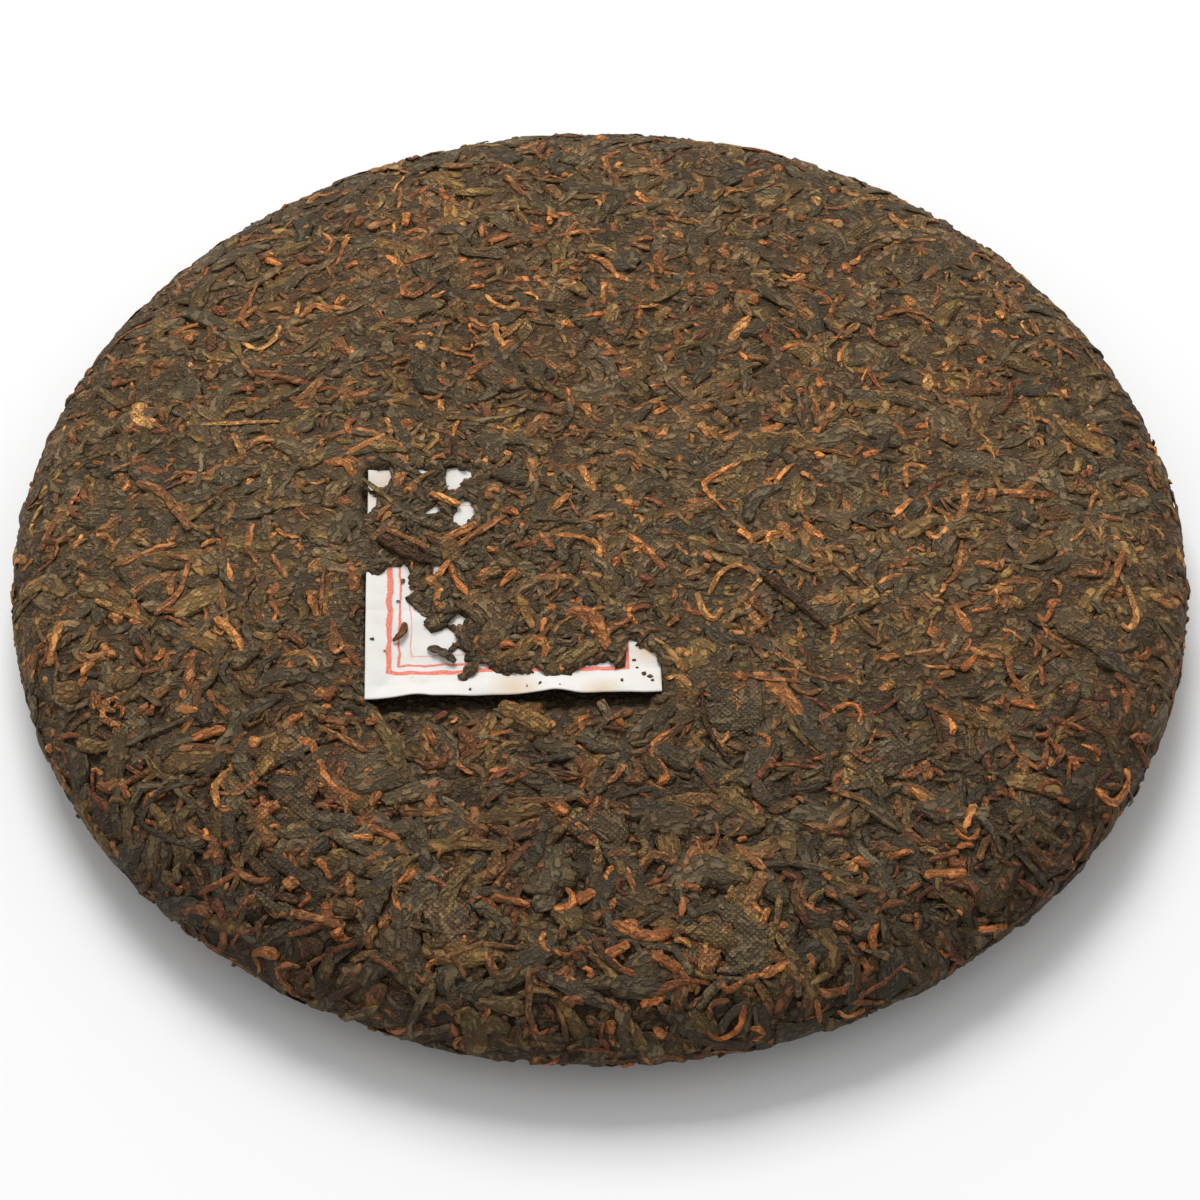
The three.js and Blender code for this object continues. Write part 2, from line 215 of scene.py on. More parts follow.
def linear(hexColour):
    # sRGB hex to linear light by the standard's curve, opaque
    parts = [int(hexColour[k : k + 2], 16) / 255 for k in (1, 3, 5)]
    return [p / 12.92 if p <= 0.04045 else ((p + 0.055) / 1.055) ** 2.4 for p in parts] + [1.0]


def addNode(material, kind, inputs=None, **settings):
    # one node with its settings; each input takes a constant, a node or (node, output)
    node = material.node_tree.nodes.new(kind)
    for key, value in settings.items():
        setattr(node, key, value)
    for key, value in (inputs or {}).items():
        source, output = value if isinstance(value, tuple) and len(value) == 2 else (value, 0)
        if isinstance(source, bpy.types.Node):
            material.node_tree.links.new(source.outputs[output], node.inputs[key])
        else:
            node.inputs[key].default_value = value
    return node


def setRamp(node, stops):
    # colour stops of a ramp as (place, sRGB hex)
    elements = node.color_ramp.elements
    while len(elements) < len(stops):
        elements.new(0.5)
    for element, (place, colour) in zip(elements, stops):
        element.position = place
        element.color = linear(colour)


def newMaterial(name):
    material = bpy.data.materials.new(name)
    material.use_nodes = True
    material.node_tree.nodes.clear()
    return material


# Fermented tea leaf: withered, rolled, heaped wet and pressed in cloth. That gives the eye a dull dark
# skin with folds along each leaf, crumpled between them, and the print of the cloth on what the press made
# flat. Painted shade darkens the folds and deep places, and a painted highlight with some dry bloom
# lightens the crests between the folds. foldMm and grooveMm are sizes along and across a leaf, and sunkMm
# is where the painted shade of deep places starts and ends. The real cloth's threads are about 0.5 mm
# apart, too fine for the render, so they are drawn a little coarser.
leafFinish = {
    "foldMm": (6.0, 1.1),
    "grooveMm": (3.5, 0.38),
    "crumpleMm": 1.7,
    "grainMm": 0.3,
    "patchMm": 7.0,
    "threadMm": 0.68,
    "threadTurns": (45, -45),
    "threadShade": 1.0,
    "toneShare": 0.5,
    "toneOffset": -0.55,
    "colourShares": {"groove": 0.6, "patch": 0.5, "grain": 0.5},
    # painted shade along the folds and a painted highlight on the crests between them
    "foldWidth": 0.2,
    "foldShade": 0.5,
    "crestShade": 1.14,
    # painted shade in deep places
    "sunkMm": (0.2, 1.8),
    "sunkShade": 0.48,
    "grooveDepth": 0.5,
    "foldDepthMm": 0.42,
    "grainDepthMm": 0.09,
    "threadDepthMm": 0.07,
    "roughness": 0.68,
    "specular": 0.22,
}


def leafMaterial(name, stops):
    # folds and streaks run along each leaf, crumple and grain through the whole cake; the leaf's tone
    # plus both pick the ramp colour, painted shade darkens it in the folds and deep places, a painted
    # highlight lightens the crests between folds, and all of them raise the surface
    f = leafFinish
    m = newMaterial(name)
    uv = addNode(m, "ShaderNodeUVMap", uv_map="lengthwise")
    place = addNode(m, "ShaderNodeTexCoord")
    size = 1 / millimetre
    spot = addNode(m, "ShaderNodeMapping", {"Vector": (place, "Object"), "Scale": (size, size, size)})
    noises = {}
    for key, scale, detail, source in (
        ("fold", (1 / f["foldMm"][0], 1 / f["foldMm"][1], 1), 2.0, uv),
        ("groove", (1 / f["grooveMm"][0], 1 / f["grooveMm"][1], 1), 2.0, uv),
        ("crumple", (1 / f["crumpleMm"],) * 3, 3.0, spot),
        ("grain", (1 / f["grainMm"],) * 3, 2.0, spot),
        ("patch", (1 / f["patchMm"],) * 3, 2.0, spot),
    ):
        scaled = addNode(m, "ShaderNodeMapping", {"Vector": source, "Scale": scale})
        noises[key] = addNode(m, "ShaderNodeTexNoise", {"Vector": scaled, "Scale": 1.0, "Detail": detail})
    # crests: how far the two mixed noises are from their middle, which the folds follow
    mixed = addNode(m, "ShaderNodeMath", {0: noises["fold"], 1: noises["crumple"]}, operation="ADD")
    middle = addNode(m, "ShaderNodeMath", {0: mixed, 1: 1.0}, operation="SUBTRACT")
    away = addNode(m, "ShaderNodeMath", {0: middle}, operation="ABSOLUTE")
    crest = addNode(m, "ShaderNodeMapRange", {
        "Value": away, "From Min": 0.0, "From Max": f["foldWidth"], "To Min": 0.0, "To Max": 1.0},
        interpolation_type="SMOOTHSTEP")
    # the tone attribute holds each leaf's own tone plus painted shade towards the front and on the front rim
    tone = addNode(m, "ShaderNodeAttribute", attribute_name="tone")
    pick = addNode(m, "ShaderNodeMath", {0: (tone, "Fac"), 1: f["toneShare"], 2: f["toneOffset"]},
                   operation="MULTIPLY_ADD")
    for key, share in f["colourShares"].items():
        pick = addNode(m, "ShaderNodeMath", {0: noises[key], 1: share, 2: pick}, operation="MULTIPLY_ADD")
    ramp = addNode(m, "ShaderNodeValToRGB", {"Fac": pick})
    setRamp(ramp, stops)
    hue = addNode(m, "ShaderNodeAttribute", attribute_name="hue")
    tint = addNode(m, "ShaderNodeValToRGB", {"Fac": (hue, "Fac")})
    setRamp(tint, leafTints)
    hued = addNode(m, "ShaderNodeMix", {0: 1.0, 6: ramp, 7: tint}, data_type="RGBA", blend_type="MULTIPLY")
    depth = addNode(m, "ShaderNodeAttribute", attribute_name="depth")
    # painted shade: the deeper a point lies, the darker it is drawn
    paintedDepthShade = addNode(m, "ShaderNodeMapRange", {
        "Value": (depth, "Fac"), "From Min": f["sunkMm"][0], "From Max": f["sunkMm"][1],
        "To Min": 1.0, "To Max": f["sunkShade"]})
    # painted shade along the folds, painted highlight on the crests between them
    paintedFoldShading = addNode(m, "ShaderNodeMapRange", {
        "Value": crest, "From Min": 0.0, "From Max": 1.0,
        "To Min": f["foldShade"], "To Max": f["crestShade"]})
    shade = addNode(m, "ShaderNodeMath", {0: paintedDepthShade, 1: paintedFoldShading}, operation="MULTIPLY")
    pressed = addNode(m, "ShaderNodeAttribute", attribute_name="pressed")
    weave = clothWeave(m, spot)
    threads = addNode(m, "ShaderNodeMath", {0: weave, 1: (pressed, "Fac")}, operation="MULTIPLY")
    rubbed = addNode(m, "ShaderNodeMath", {0: threads, 1: f["threadShade"], 2: 1.0},
                     operation="MULTIPLY_ADD")
    # the painted shade and highlight times the cloth's thread print
    paintedShadeAndThreads = addNode(m, "ShaderNodeMath", {0: shade, 1: rubbed}, operation="MULTIPLY")
    shown = addNode(m, "ShaderNodeVectorMath", {0: (hued, 2), "Scale": paintedShadeAndThreads}, operation="SCALE")
    bump = None
    raised = addNode(m, "ShaderNodeMath", {0: noises["groove"], 1: f["grooveDepth"], 2: crest},
                     operation="MULTIPLY_ADD")
    for height, depthMm in (
        (raised, f["foldDepthMm"]), (noises["grain"], f["grainDepthMm"]), (threads, f["threadDepthMm"]),
    ):
        under = {"Normal": bump} if bump else {}
        bump = addNode(m, "ShaderNodeBump", {
            "Height": height, "Strength": 1.0, "Distance": depthMm * millimetre, **under})
    shader = addNode(m, "ShaderNodeBsdfPrincipled", {
        "Base Color": shown, "Normal": bump, "Roughness": f["roughness"],
        "Specular IOR Level": f["specular"]})
    addNode(m, "ShaderNodeOutputMaterial", {"Surface": shader})
    return m


def clothWeave(m, spot):
    # product of two sets of threads laid crosswise over the whole cake, less its mean; the bands of a
    # wave node repeat every tenth of pi
    waveLength = math.pi / 10
    productMean = 0.25
    waves = []
    for turn in leafFinish["threadTurns"]:
        laid = addNode(m, "ShaderNodeMapping", {"Vector": spot, "Rotation": (0, 0, math.radians(turn))})
        waves.append(addNode(m, "ShaderNodeTexWave", {
            "Vector": laid, "Scale": waveLength / leafFinish["threadMm"]}))
    return addNode(m, "ShaderNodeMath", {0: (waves[0], "Fac"), 1: (waves[1], "Fac"), 2: -productMean},
                   operation="MULTIPLY_ADD")


# Ramp places and colours of each look, dark to light, and the tint from warm to cool leaves
leafColours = {
    "coreLeaf": [(0.15, "#463826"), (0.5, "#614e34"), (0.85, "#816746")],
    "slateLeaf": [(0.15, "#473d2c"), (0.5, "#63543c"), (0.85, "#88704e")],
    "oliveLeaf": [(0.15, "#534227"), (0.5, "#765d37"), (0.85, "#a17f4a")],
    "umberLeaf": [(0.15, "#503924"), (0.5, "#775432"), (0.85, "#a37546")],
    "brownLeaf": [(0.1, "#634029"), (0.5, "#97623a"), (0.9, "#c4874f")],
    "orangeBud": [(0.1, "#764828"), (0.5, "#b9733f"), (0.9, "#e5a05b")],
    "goldenBud": [(0.1, "#805732"), (0.5, "#c08549"), (0.9, "#e0ae6b")],
    "redLeaf": [(0.1, "#593525"), (0.5, "#834e32"), (0.9, "#a96d45")],
}
leafTints = [(0.0, "#fff0e2"), (0.45, "#fffaf6"), (0.8, "#f6f6f5"), (1.0, "#eaeef1")]
leafMaterials = {name: leafMaterial(name, stops) for name, stops in leafColours.items()}


# Square fields over the plan, in millimetres
fieldReach = 118.0
fieldPixel = 0.3
fieldSize = int(2 * fieldReach / fieldPixel)
lumpMm = 2.2
lumpRange = 0.5


def waveField(wave, width, rng):
    # random noise that keeps only waves about as long as wave, scaled to a spread of one
    noise = rng.normal(0, 1, (fieldSize, fieldSize))
    steps = np.fft.fftfreq(fieldSize, fieldPixel)
    often = np.maximum(np.hypot(steps[:, None], steps[None]), tiny)
    field = np.fft.ifft2(np.fft.fft2(noise) * np.exp(-((np.log(often * wave) / width) ** 2))).real
    return field / field.std()


def sampleField(field, x, y):
    # value between the four nearest field points
    last = fieldSize - 1.001
    i = np.clip((x + fieldReach) / fieldPixel - 0.5, 0, last)
    j = np.clip((y + fieldReach) / fieldPixel - 0.5, 0, last)
    low, left = i.astype(int), j.astype(int)
    a, b = i - low, j - left
    below = field[low, left] * (1 - b) + field[low, left + 1] * b
    above = field[low + 1, left] * (1 - b) + field[low + 1, left + 1] * b
    return below * (1 - a) + above * a


lumps = waveField(lumpMm, lumpRange, np.random.default_rng(seed + 3))


# Ticket

# In millimetres, from the ticket's centre. Each crease wave has a length between two, given as turns in
# radians for each millimetre; each fold is its axis, place, height and width.
ticket = {
    "width": 48.2,
    "height": 49.0,
    "centre": (-14.6, -13.7),
    "turn": 1.3,
    "thickness": 0.2,
    "sink": 1.25,
    "edgeRise": 0.12,
    "dipWidth": 7.0,
    "bareHeight": -4.0,
    "bareSlant": 0.6,
    "wave": 0.14,
    "waveTurns": (0.55, 0.43),
    "wavePhase": 1.0,
    "lift": 1.0,
    "liftAt": (-15.0, 6.0),
    "liftWidth": 4.0,
    "liftReach": 5.0,
    "lipOffset": 0.9,
    "lipWidth": 1.6,
    "lipDepth": 1.3,
    "steps": 140,
    "wander": 0.15,
    "creases": 6,
    "creaseHeight": 0.05,
    "creaseTurns": (0.5, 1.6),
    "creasePhase": 6.0,
    "folds": ((1, -5.0, 0.22, 0.9), (0, -12.0, 0.14, 0.8), (1, -20.5, 0.12, 0.8), (0, 6.5, 0.14, 1.0)),
    "foldSlant": 0.06,
}

# Edge of the leaf cover over the ticket and the outlines of the gaps in it, as places in the photo
coverEdge = [
    (364, 572), (369, 576), (377, 574), (384, 566), (397, 563), (411, 562), (408, 577), (412, 588),
    (410, 599), (415, 605), (421, 609), (424, 617), (425, 624), (435, 630), (444, 624), (453, 627),
    (461, 632), (455, 638), (446, 646), (452, 649), (462, 645), (466, 656), (477, 653), (480, 660),
    (490, 659), (487, 666), (499, 672), (511, 671), (525, 670), (538, 665), (546, 673), (561, 675),
    (574, 674), (577, 665), (587, 662), (596, 663), (605, 656), (612, 659), (616, 667), (625, 663),
    (626, 655), (627, 640), (630, 633), (634, 636), (636, 646), (643, 646), (650, 650), (658, 652),
    (664, 653),
]
coverGaps = [
    [(362, 463), (375, 463), (379, 468), (384, 463), (396, 463), (391, 474), (384, 483), (376, 487),
     (366, 484)],
    [(358, 482), (366, 487), (376, 494), (373, 505), (366, 511), (359, 508)],
    [(417, 465), (428, 465), (425, 471), (421, 471)],
    [(445, 463), (458, 463), (460, 468), (470, 466), (473, 473), (461, 475), (459, 488), (449, 487),
     (443, 479)],
    [(455, 499), (464, 496), (470, 498), (472, 504), (477, 507), (474, 513), (467, 518), (461, 524),
     (455, 519), (455, 511), (459, 506)],
    [(426, 508), (433, 502), (442, 503), (438, 510), (430, 511)],
    [(434, 516), (441, 514), (440, 522), (434, 522)],
    [(404, 526), (412, 524), (409, 529), (409, 538), (403, 535)],
    [(450, 541), (458, 538), (468, 536), (465, 546), (455, 548)],
    [(481, 518), (486, 518), (486, 523), (481, 523)],
    [(359, 522), (367, 521), (366, 527), (359, 527)],
    [(359, 532), (367, 533), (366, 537), (359, 537)],
    [(432, 565), (440, 562), (445, 567), (438, 575), (432, 571)],
    [(449, 613), (457, 608), (464, 611), (466, 618), (457, 624), (450, 620)],
    [(559, 651), (568, 649), (572, 654), (564, 658), (559, 656)],
]


def toTicket(plan):
    # plan place in the ticket's own axes, from its centre
    turn = math.radians(ticket["turn"])
    away = plan - np.array(ticket["centre"])
    return np.stack([
        away[..., 0] * math.cos(turn) + away[..., 1] * math.sin(turn),
        away[..., 1] * math.cos(turn) - away[..., 0] * math.sin(turn),
    ], -1)


def fromTicket(local):
    # the ticket's own place turned back and moved to the plan
    turn = math.radians(ticket["turn"])
    return np.stack([
        local[..., 0] * math.cos(turn) - local[..., 1] * math.sin(turn),
        local[..., 1] * math.cos(turn) + local[..., 0] * math.sin(turn),
    ], -1) + np.array(ticket["centre"])


def paperLift(u, v):
    # flush at the free edges, dipping under the leaves inside, with curls and low waves
    t = ticket
    fromBottom = v + t["height"] / 2
    fromLeft = u + t["width"] / 2 + np.maximum(0, v - t["bareHeight"]) * t["bareSlant"]
    dip = np.clip(np.minimum(fromLeft, fromBottom) / t["dipWidth"], 0, 1)
    dip = dip * dip * (3 - 2 * dip)
    curl = sum(np.exp(-(((u - at) / t["liftWidth"]) ** 2)) for at in t["liftAt"])
    reach = np.clip(1 - fromBottom / t["liftReach"], 0, 1)
    wave = t["wave"] * np.sin(u * t["waveTurns"][0] + t["wavePhase"]) * np.cos(v * t["waveTurns"][1])
    return t["edgeRise"] - (t["sink"] + t["edgeRise"]) * dip + t["lift"] * curl * reach**2 + wave


def insideOutline(points, outline):
    # counts how many outline sides a level line from each point crosses
    a = outline
    b = np.roll(outline, -1, axis=0)
    x, y = points[..., 0, None], points[..., 1, None]
    crosses = (a[:, 1] > y) != (b[:, 1] > y)
    height = np.where(b[:, 1] == a[:, 1], tiny, b[:, 1] - a[:, 1])
    edgeX = (b[:, 0] - a[:, 0]) * (y - a[:, 1]) / height + a[:, 0]
    return (np.sum(crosses & (x < edgeX), -1) % 2) == 1


def bareOutline():
    # the cover's edge, closed round the ticket's left, bottom and right sides
    edge = toTicket(fromPhoto(coverEdge))
    halfWidth, halfHeight = ticket["width"] / 2, ticket["height"] / 2
    corners = np.array([
        [halfWidth, edge[-1, 1]], [halfWidth, -halfHeight],
        [-halfWidth, -halfHeight], [-halfWidth, edge[0, 1]],
    ])
    return np.vstack([edge, corners])


paperShapes = [bareOutline()] + [toTicket(fromPhoto(gap)) for gap in coverGaps]


def overTicket(plan, margin):
    # true over the ticket and as far round it as margin says
    local = toTicket(plan)
    wide = np.abs(local[..., 0]) < ticket["width"] / 2 + margin
    return wide & (np.abs(local[..., 1]) < ticket["height"] / 2 + margin)


def showsPaper(plan):
    # true on the bare margins and in the gaps of the leaf cover, whose edges wander a little
    shown = np.zeros(plan.shape[:-1], bool)
    near = overTicket(plan, 1.0)
    spots = plan[near]
    wander = ticket["wander"] * sampleField(lumps, spots[:, 0], spots[:, 1])
    local = toTicket(spots) + np.stack([wander, -wander], -1)
    shown[near] = np.any([insideOutline(local, shape) for shape in paperShapes], axis=0)
    return shown


# Border in from the ticket's edges, in millimetres: each line is its place inwards and its width
border = {
    "left": 4.5,
    "right": 4.8,
    "bottom": 6.2,
    "top": 4.4,
    "lines": ((0.0, 0.95), (1.7, 0.42), (3.5, 0.14)),
    "sharpness": 7.0,
    "colour": "#df6448",
}

# Rice paper: thin, unsized, made from plant fibre. That gives the eye a dull white, a little cloudy, with
# fine fibres. It drinks ink and tea, so the print is patchy and the stains are soft; each stain is its
# place from the ticket's centre and its reach, in millimetres.
paperFinish = {
    "whites": [(0.4, "#dedbd7"), (0.6, "#dbd7d1"), (0.75, "#d2c9b4")],
    "stains": (((1.0, -22.6), 5.0), ((23.0, -15.0), 3.5), ((-20.0, 21.0), 6.0), ((15.0, -24.0), 4.0)),
    "stainColour": "#c39b52",
    "wobbleMm": 3.57,
    "wobble": 1.3,
    "speckleMm": 0.3125,
    "speckleGain": 1.5,
    "speckleBase": 0.1,
    "cloudMm": 6.25,
    "fibreMm": 0.625,
    "fibreDepthMm": 0.05,
    "roughness": 0.85,
    "specular": 0.25,
}


def ticketPaper():
    # Printed in one red with a plain border of three lines. The border follows the distance inwards from
    # the nearest edge, moved a little by noise as a hand print is; each line is inked where that
    # distance is within half its width.
    p = paperFinish
    m = newMaterial("ticketRicePaper")
    uv = addNode(m, "ShaderNodeUVMap", uv_map="lengthwise")
    noises = {}
    for key, detail, roughness in (
        ("wobble", 3.0, 0.5), ("speckle", 4.0, 0.7), ("cloud", 5.0, 0.65), ("fibre", 5.0, 0.6),
    ):
        noises[key] = addNode(m, "ShaderNodeTexNoise", {
            "Vector": uv, "Scale": 1 / p[key + "Mm"], "Detail": detail, "Roughness": roughness})
    moved = addNode(m, "ShaderNodeVectorMath", {
        0: (noises["wobble"], "Color"), 1: (p["wobble"], p["wobble"], 0.0), 2: uv}, operation="MULTIPLY_ADD")
    parts = addNode(m, "ShaderNodeSeparateXYZ", {0: moved})
    inwards = None
    for axis, sign, side in (("X", 1, "left"), ("X", -1, "right"), ("Y", 1, "bottom"), ("Y", -1, "top")):
        half = (ticket["width"] if axis == "X" else ticket["height"]) / 2
        edge = addNode(m, "ShaderNodeMath", {0: (parts, axis), 1: float(sign), 2: half - border[side]},
                       operation="MULTIPLY_ADD")
        if inwards is None:
            inwards = edge
        else:
            inwards = addNode(m, "ShaderNodeMath", {0: inwards, 1: edge}, operation="MINIMUM")
    ink = None
    for place, width in border["lines"]:
        away = addNode(m, "ShaderNodeMath", {0: inwards, 1: place}, operation="SUBTRACT")
        away = addNode(m, "ShaderNodeMath", {0: away}, operation="ABSOLUTE")
        reach = 0.5 + width / 2 * border["sharpness"]
        line = addNode(m, "ShaderNodeMath", {0: away, 1: -border["sharpness"], 2: reach},
                       operation="MULTIPLY_ADD", use_clamp=True)
        ink = line if ink is None else addNode(m, "ShaderNodeMath", {0: ink, 1: line}, operation="MAXIMUM")
    patchy = addNode(m, "ShaderNodeMath", {0: noises["speckle"], 1: p["speckleGain"], 2: p["speckleBase"]},
                     operation="MULTIPLY_ADD", use_clamp=True)
    inked = addNode(m, "ShaderNodeMath", {0: ink, 1: patchy}, operation="MULTIPLY")
    shown = addNode(m, "ShaderNodeValToRGB", {"Fac": noises["cloud"]})
    setRamp(shown, p["whites"])
    output = 0
    for (x, y), reach in p["stains"]:
        away = addNode(m, "ShaderNodeVectorMath", {0: moved, 1: (x, y, 0.0)}, operation="DISTANCE")
        near = addNode(m, "ShaderNodeMath", {0: (away, "Value"), 1: -1 / reach, 2: 1.0},
                       operation="MULTIPLY_ADD", use_clamp=True)
        amount = addNode(m, "ShaderNodeMath", {0: near, 1: noises["speckle"]}, operation="MULTIPLY")
        shown = addNode(m, "ShaderNodeMix", {
            0: amount, 6: (shown, output), 7: linear(p["stainColour"])}, data_type="RGBA")
        output = 2
    printed = addNode(m, "ShaderNodeMix", {
        0: inked, 6: (shown, output), 7: linear(border["colour"])}, data_type="RGBA")
    bump = addNode(m, "ShaderNodeBump", {
        "Height": noises["fibre"], "Strength": 1.0, "Distance": p["fibreDepthMm"] * millimetre})
    shader = addNode(m, "ShaderNodeBsdfPrincipled", {
        "Base Color": (printed, 2), "Normal": bump, "Roughness": p["roughness"],
        "Specular IOR Level": p["specular"]})
    addNode(m, "ShaderNodeOutputMaterial", {"Surface": shader})
    return m


def makeTicket():
    # two like grids of the paper's lift, one paper thickness apart, joined round the edge
    t = ticket
    n = t["steps"] + 1
    share = np.linspace(-0.5, 0.5, n)
    u, v = np.meshgrid(share * t["width"], share * t["height"], indexing="ij")
    rng = np.random.default_rng(seed + 1)
    lowest = (0, t["creaseTurns"][0], 0)
    highest = (math.pi, t["creaseTurns"][1], t["creasePhase"])
    crease = sum(
        t["creaseHeight"] * np.sin((u * math.cos(a) + v * math.sin(a)) * k + p)
        for a, k, p in rng.uniform(lowest, highest, (t["creases"], 3)))
    for axis, at, height, width in t["folds"]:
        along, across = (u, v) if axis else (v, u)
        crease = crease - height * np.exp(-np.abs(across - at - t["foldSlant"] * along) / width)
    plan = fromTicket(np.stack([u, v], -1))
    lift = paperLift(u, v) + crease
    layers = [onCake(1, plan[..., 0], plan[..., 1], lift + t["thickness"] * s) for s in (-0.5, 0.5)]
    points = np.concatenate([layer.reshape(-1, 3) for layer in layers])
    face, rim = gridQuads(n)
    nextRim = np.roll(rim, -1)
    side = np.stack([rim, nextRim, nextRim + n * n, rim + n * n], -1)
    quads = np.concatenate([face[:, ::-1], face + n * n, side])
    uv = np.tile(np.stack([u, v], -1).reshape(-1, 2), (2, 1))
    return pieceFromArrays("paperTicket", points, quads, ticketPaper(), uv=uv)


# Leaves

# Form of the flat and the rolled leaves: half thickness to half width, bend in degrees, share of hooks,
# twist in turns, depth of ridges, raggedness, and bluntness of the ends
flatForm = dict(body=0.2, bend=30, hooks=0.0, twist=0.1, ridge=0.06, ragged=0.2, blunt=(2.2, 5))
rolledForm = dict(body=0.5, bend=45, hooks=0.1, twist=0.5, ridge=0.14, ragged=0.13, blunt=(4, 10))

# Per kind: mm between spots on the top, length and width in mm, tone range, and what its form changes
leafKinds = {
    "slateFlats": dict(
        flatForm, spacing=8.2, length=(6, 15), width=(2.8, 6.0), tones=(0.0, 0.7), material="slateLeaf"),
    "oliveFlats": dict(
        flatForm, spacing=10.5, length=(5, 13), width=(2.6, 5.2), tones=(0.0, 0.8), material="oliveLeaf"),
    "slateTwists": dict(
        rolledForm, spacing=7.0, length=(4, 13), width=(1.2, 3.0), tones=(0.0, 0.9), material="slateLeaf"),
    "umberTwists": dict(
        rolledForm, spacing=7.3, length=(4, 13), width=(1.1, 2.8), tones=(0.0, 1.0), material="umberLeaf"),
    "oliveTwists": dict(
        rolledForm, spacing=7.6, length=(3.5, 11), width=(1.0, 2.5), hooks=0.12, twist=0.4,
        tones=(0.1, 1.0), material="oliveLeaf"),
    "brownTwists": dict(
        rolledForm, spacing=7.4, length=(2.5, 10), width=(0.9, 2.3), body=0.55, bend=55, hooks=0.15,
        ragged=0.12, tones=(0.0, 0.9), material="brownLeaf"),
    "orangeBuds": dict(
        rolledForm, spacing=8.6, length=(1.8, 7.0), width=(0.8, 1.9), body=0.6, bend=60, hooks=0.25,
        twist=0.3, ridge=0.1, ragged=0.12, tones=(0.0, 1.0), material="orangeBud"),
    "redStems": dict(
        rolledForm, spacing=15.0, length=(3.5, 11), width=(0.7, 1.3), body=0.8, bend=30, twist=0.2,
        ridge=0.1, ragged=0.08, blunt=(5, 9), tones=(0.0, 1.0), material="redLeaf"),
    "leafCrumbs": dict(
        spacing=5.2, length=(1.0, 2.6), width=(0.7, 1.6), body=0.6, bend=20, hooks=0.0, twist=0.1,
        ridge=0.1, ragged=0.2, blunt=(2, 4), tones=(0.0, 1.0), stations=4, sides=6, material="umberLeaf"),
}

# How the leaves lie. Lengths are in millimetres and turns in radians; the rarity values are powers that
# make long and wide leaves rare.
leafBed = {
    "underSpacing": 1.62,
    "underSize": 1.12,
    "topSize": 0.9,
    "frontSize": 0.2,
    "longRarity": 1.7,
    "wideRarity": 1.5,
    "jitter": 0.45,
    "topReach": 112.0,
    "underReach": 101.0,
    "topLevel": 0.08,
    "underLevel": -0.02,
    "layer": 0.42,
    "rimFrom": 84.0,
    "rimWidth": 14.0,
    "rimLayer": 1.0,
    "frontWay": (-0.2, -0.95),
    "frontFrom": 28.0,
    "frontWidth": 40.0,
    "frontLoose": 0.6,
    "pressedFlat": 0.9,
    "stations": 7,
    "sides": 8,
    "flow": 0.9,
    "flowMm": 55,
    "flowPhase": 0.2,
    "headingSpread": 1.2,
    "hookTurns": (1.9, 4.2),
    "sway": 0.3,
    "lump": 0.07,
    "clearShares": (-0.8, 0.0, 0.8),
}

# A leaf's form in shares of its width, but dive, tilt, soft and pressedRough in millimetres and girth in
# degrees to each side of its crest
leafForm = {
    "taper": 0.4,
    "swell": 0.13,
    "endWidth": 0.3,
    "girth": 140,
    "lobes": 3,
    "roundness": (0.45, 0.9),
    "looseRoundness": 0.8,
    "dive": (0.05, 0.5),
    "tilt": 0.16,
    "soft": 0.05,
    "softSteps": 4,
    "pressedRough": 0.05,
}

# Tone and hue over the bed, with painted shade towards the front and on the front rim
bedColour = {
    "base": 0.25,
    "patch": 0.12,
    "patchMm": 46,
    "patchPhase": 0.7,
    # painted shade towards the front and on the front rim
    "frontFrom": 15,
    "frontWidth": 45,
    "front": 0.3,
    "frontRimShade": 0.35,
    "leafHue": 0.2,
    "coreHue": 0.4,
    "hueMm": 60,
    "huePhase": 2.1,
}

# Patches that the press made smooth: photo place and radius in mm
pressedPatches = [
    ((290, 790), 10.0), ((270, 905), 6.0), ((115, 720), 5.0), ((450, 905), 6.0), ((735, 712), 7.0),
    ((740, 935), 9.0), ((600, 830), 7.0), ((880, 770), 6.0),
]
pressedCentres = fromPhoto([place for place, _ in pressedPatches])
pressedRadii = [radius for _, radius in pressedPatches]


# Soft patches are waves in several directions. Each is turned in radians from the one before, and the
# lengths are shares of the asked size.
patchWaves = {"count": 5, "turnStep": 1.3, "shortest": 0.7, "lengthStep": 0.35, "shift": 3, "scale": 3}


def patches(x, y, wave, phase):
    # slow waves, each longer than the last, add up to soft patches from about -1 to 1
    w = patchWaves
    total = 0
    for k in range(w["count"]):
        turn = phase + k * w["turnStep"]
        length = wave * (w["shortest"] + w["lengthStep"] * k)
        along = x * np.cos(turn) + y * np.sin(turn)
        total = total + np.sin(along * 2 * math.pi / length + turn * w["shift"])
    return total / w["scale"]


def frontness(x, y):
    # rises from 0 at the middle to 1 at the front left
    way = leafBed["frontWay"]
    return np.clip((way[0] * x + way[1] * y - leafBed["frontFrom"]) / leafBed["frontWidth"], 0, 1)


def rimness(x, y):
    # rises from 0 on the dome to 1 on the rounded rim
    return np.clip((np.hypot(x, y) - leafBed["rimFrom"]) / leafBed["rimWidth"], 0, 1)


def pressedHere(x, y):
    # close to 1 inside each pressed patch, falling to 0 round its radius; the largest of all patches
    shares = [
        np.exp(-((np.hypot(x - centreX, y - centreY) / radius) ** 4))
        for (centreX, centreY), radius in zip(pressedCentres, pressedRadii)]
    return np.max(shares, axis=0)


def looseness(x, y):
    # 0 where the press made the bed flat, 1 where it stayed loose: at the rim and towards the front left,
    # but not in the pressed patches
    loose = np.maximum(rimness(x, y), leafBed["frontLoose"] * frontness(x, y))
    return loose * (1 - leafBed["pressedFlat"] * pressedHere(x, y))


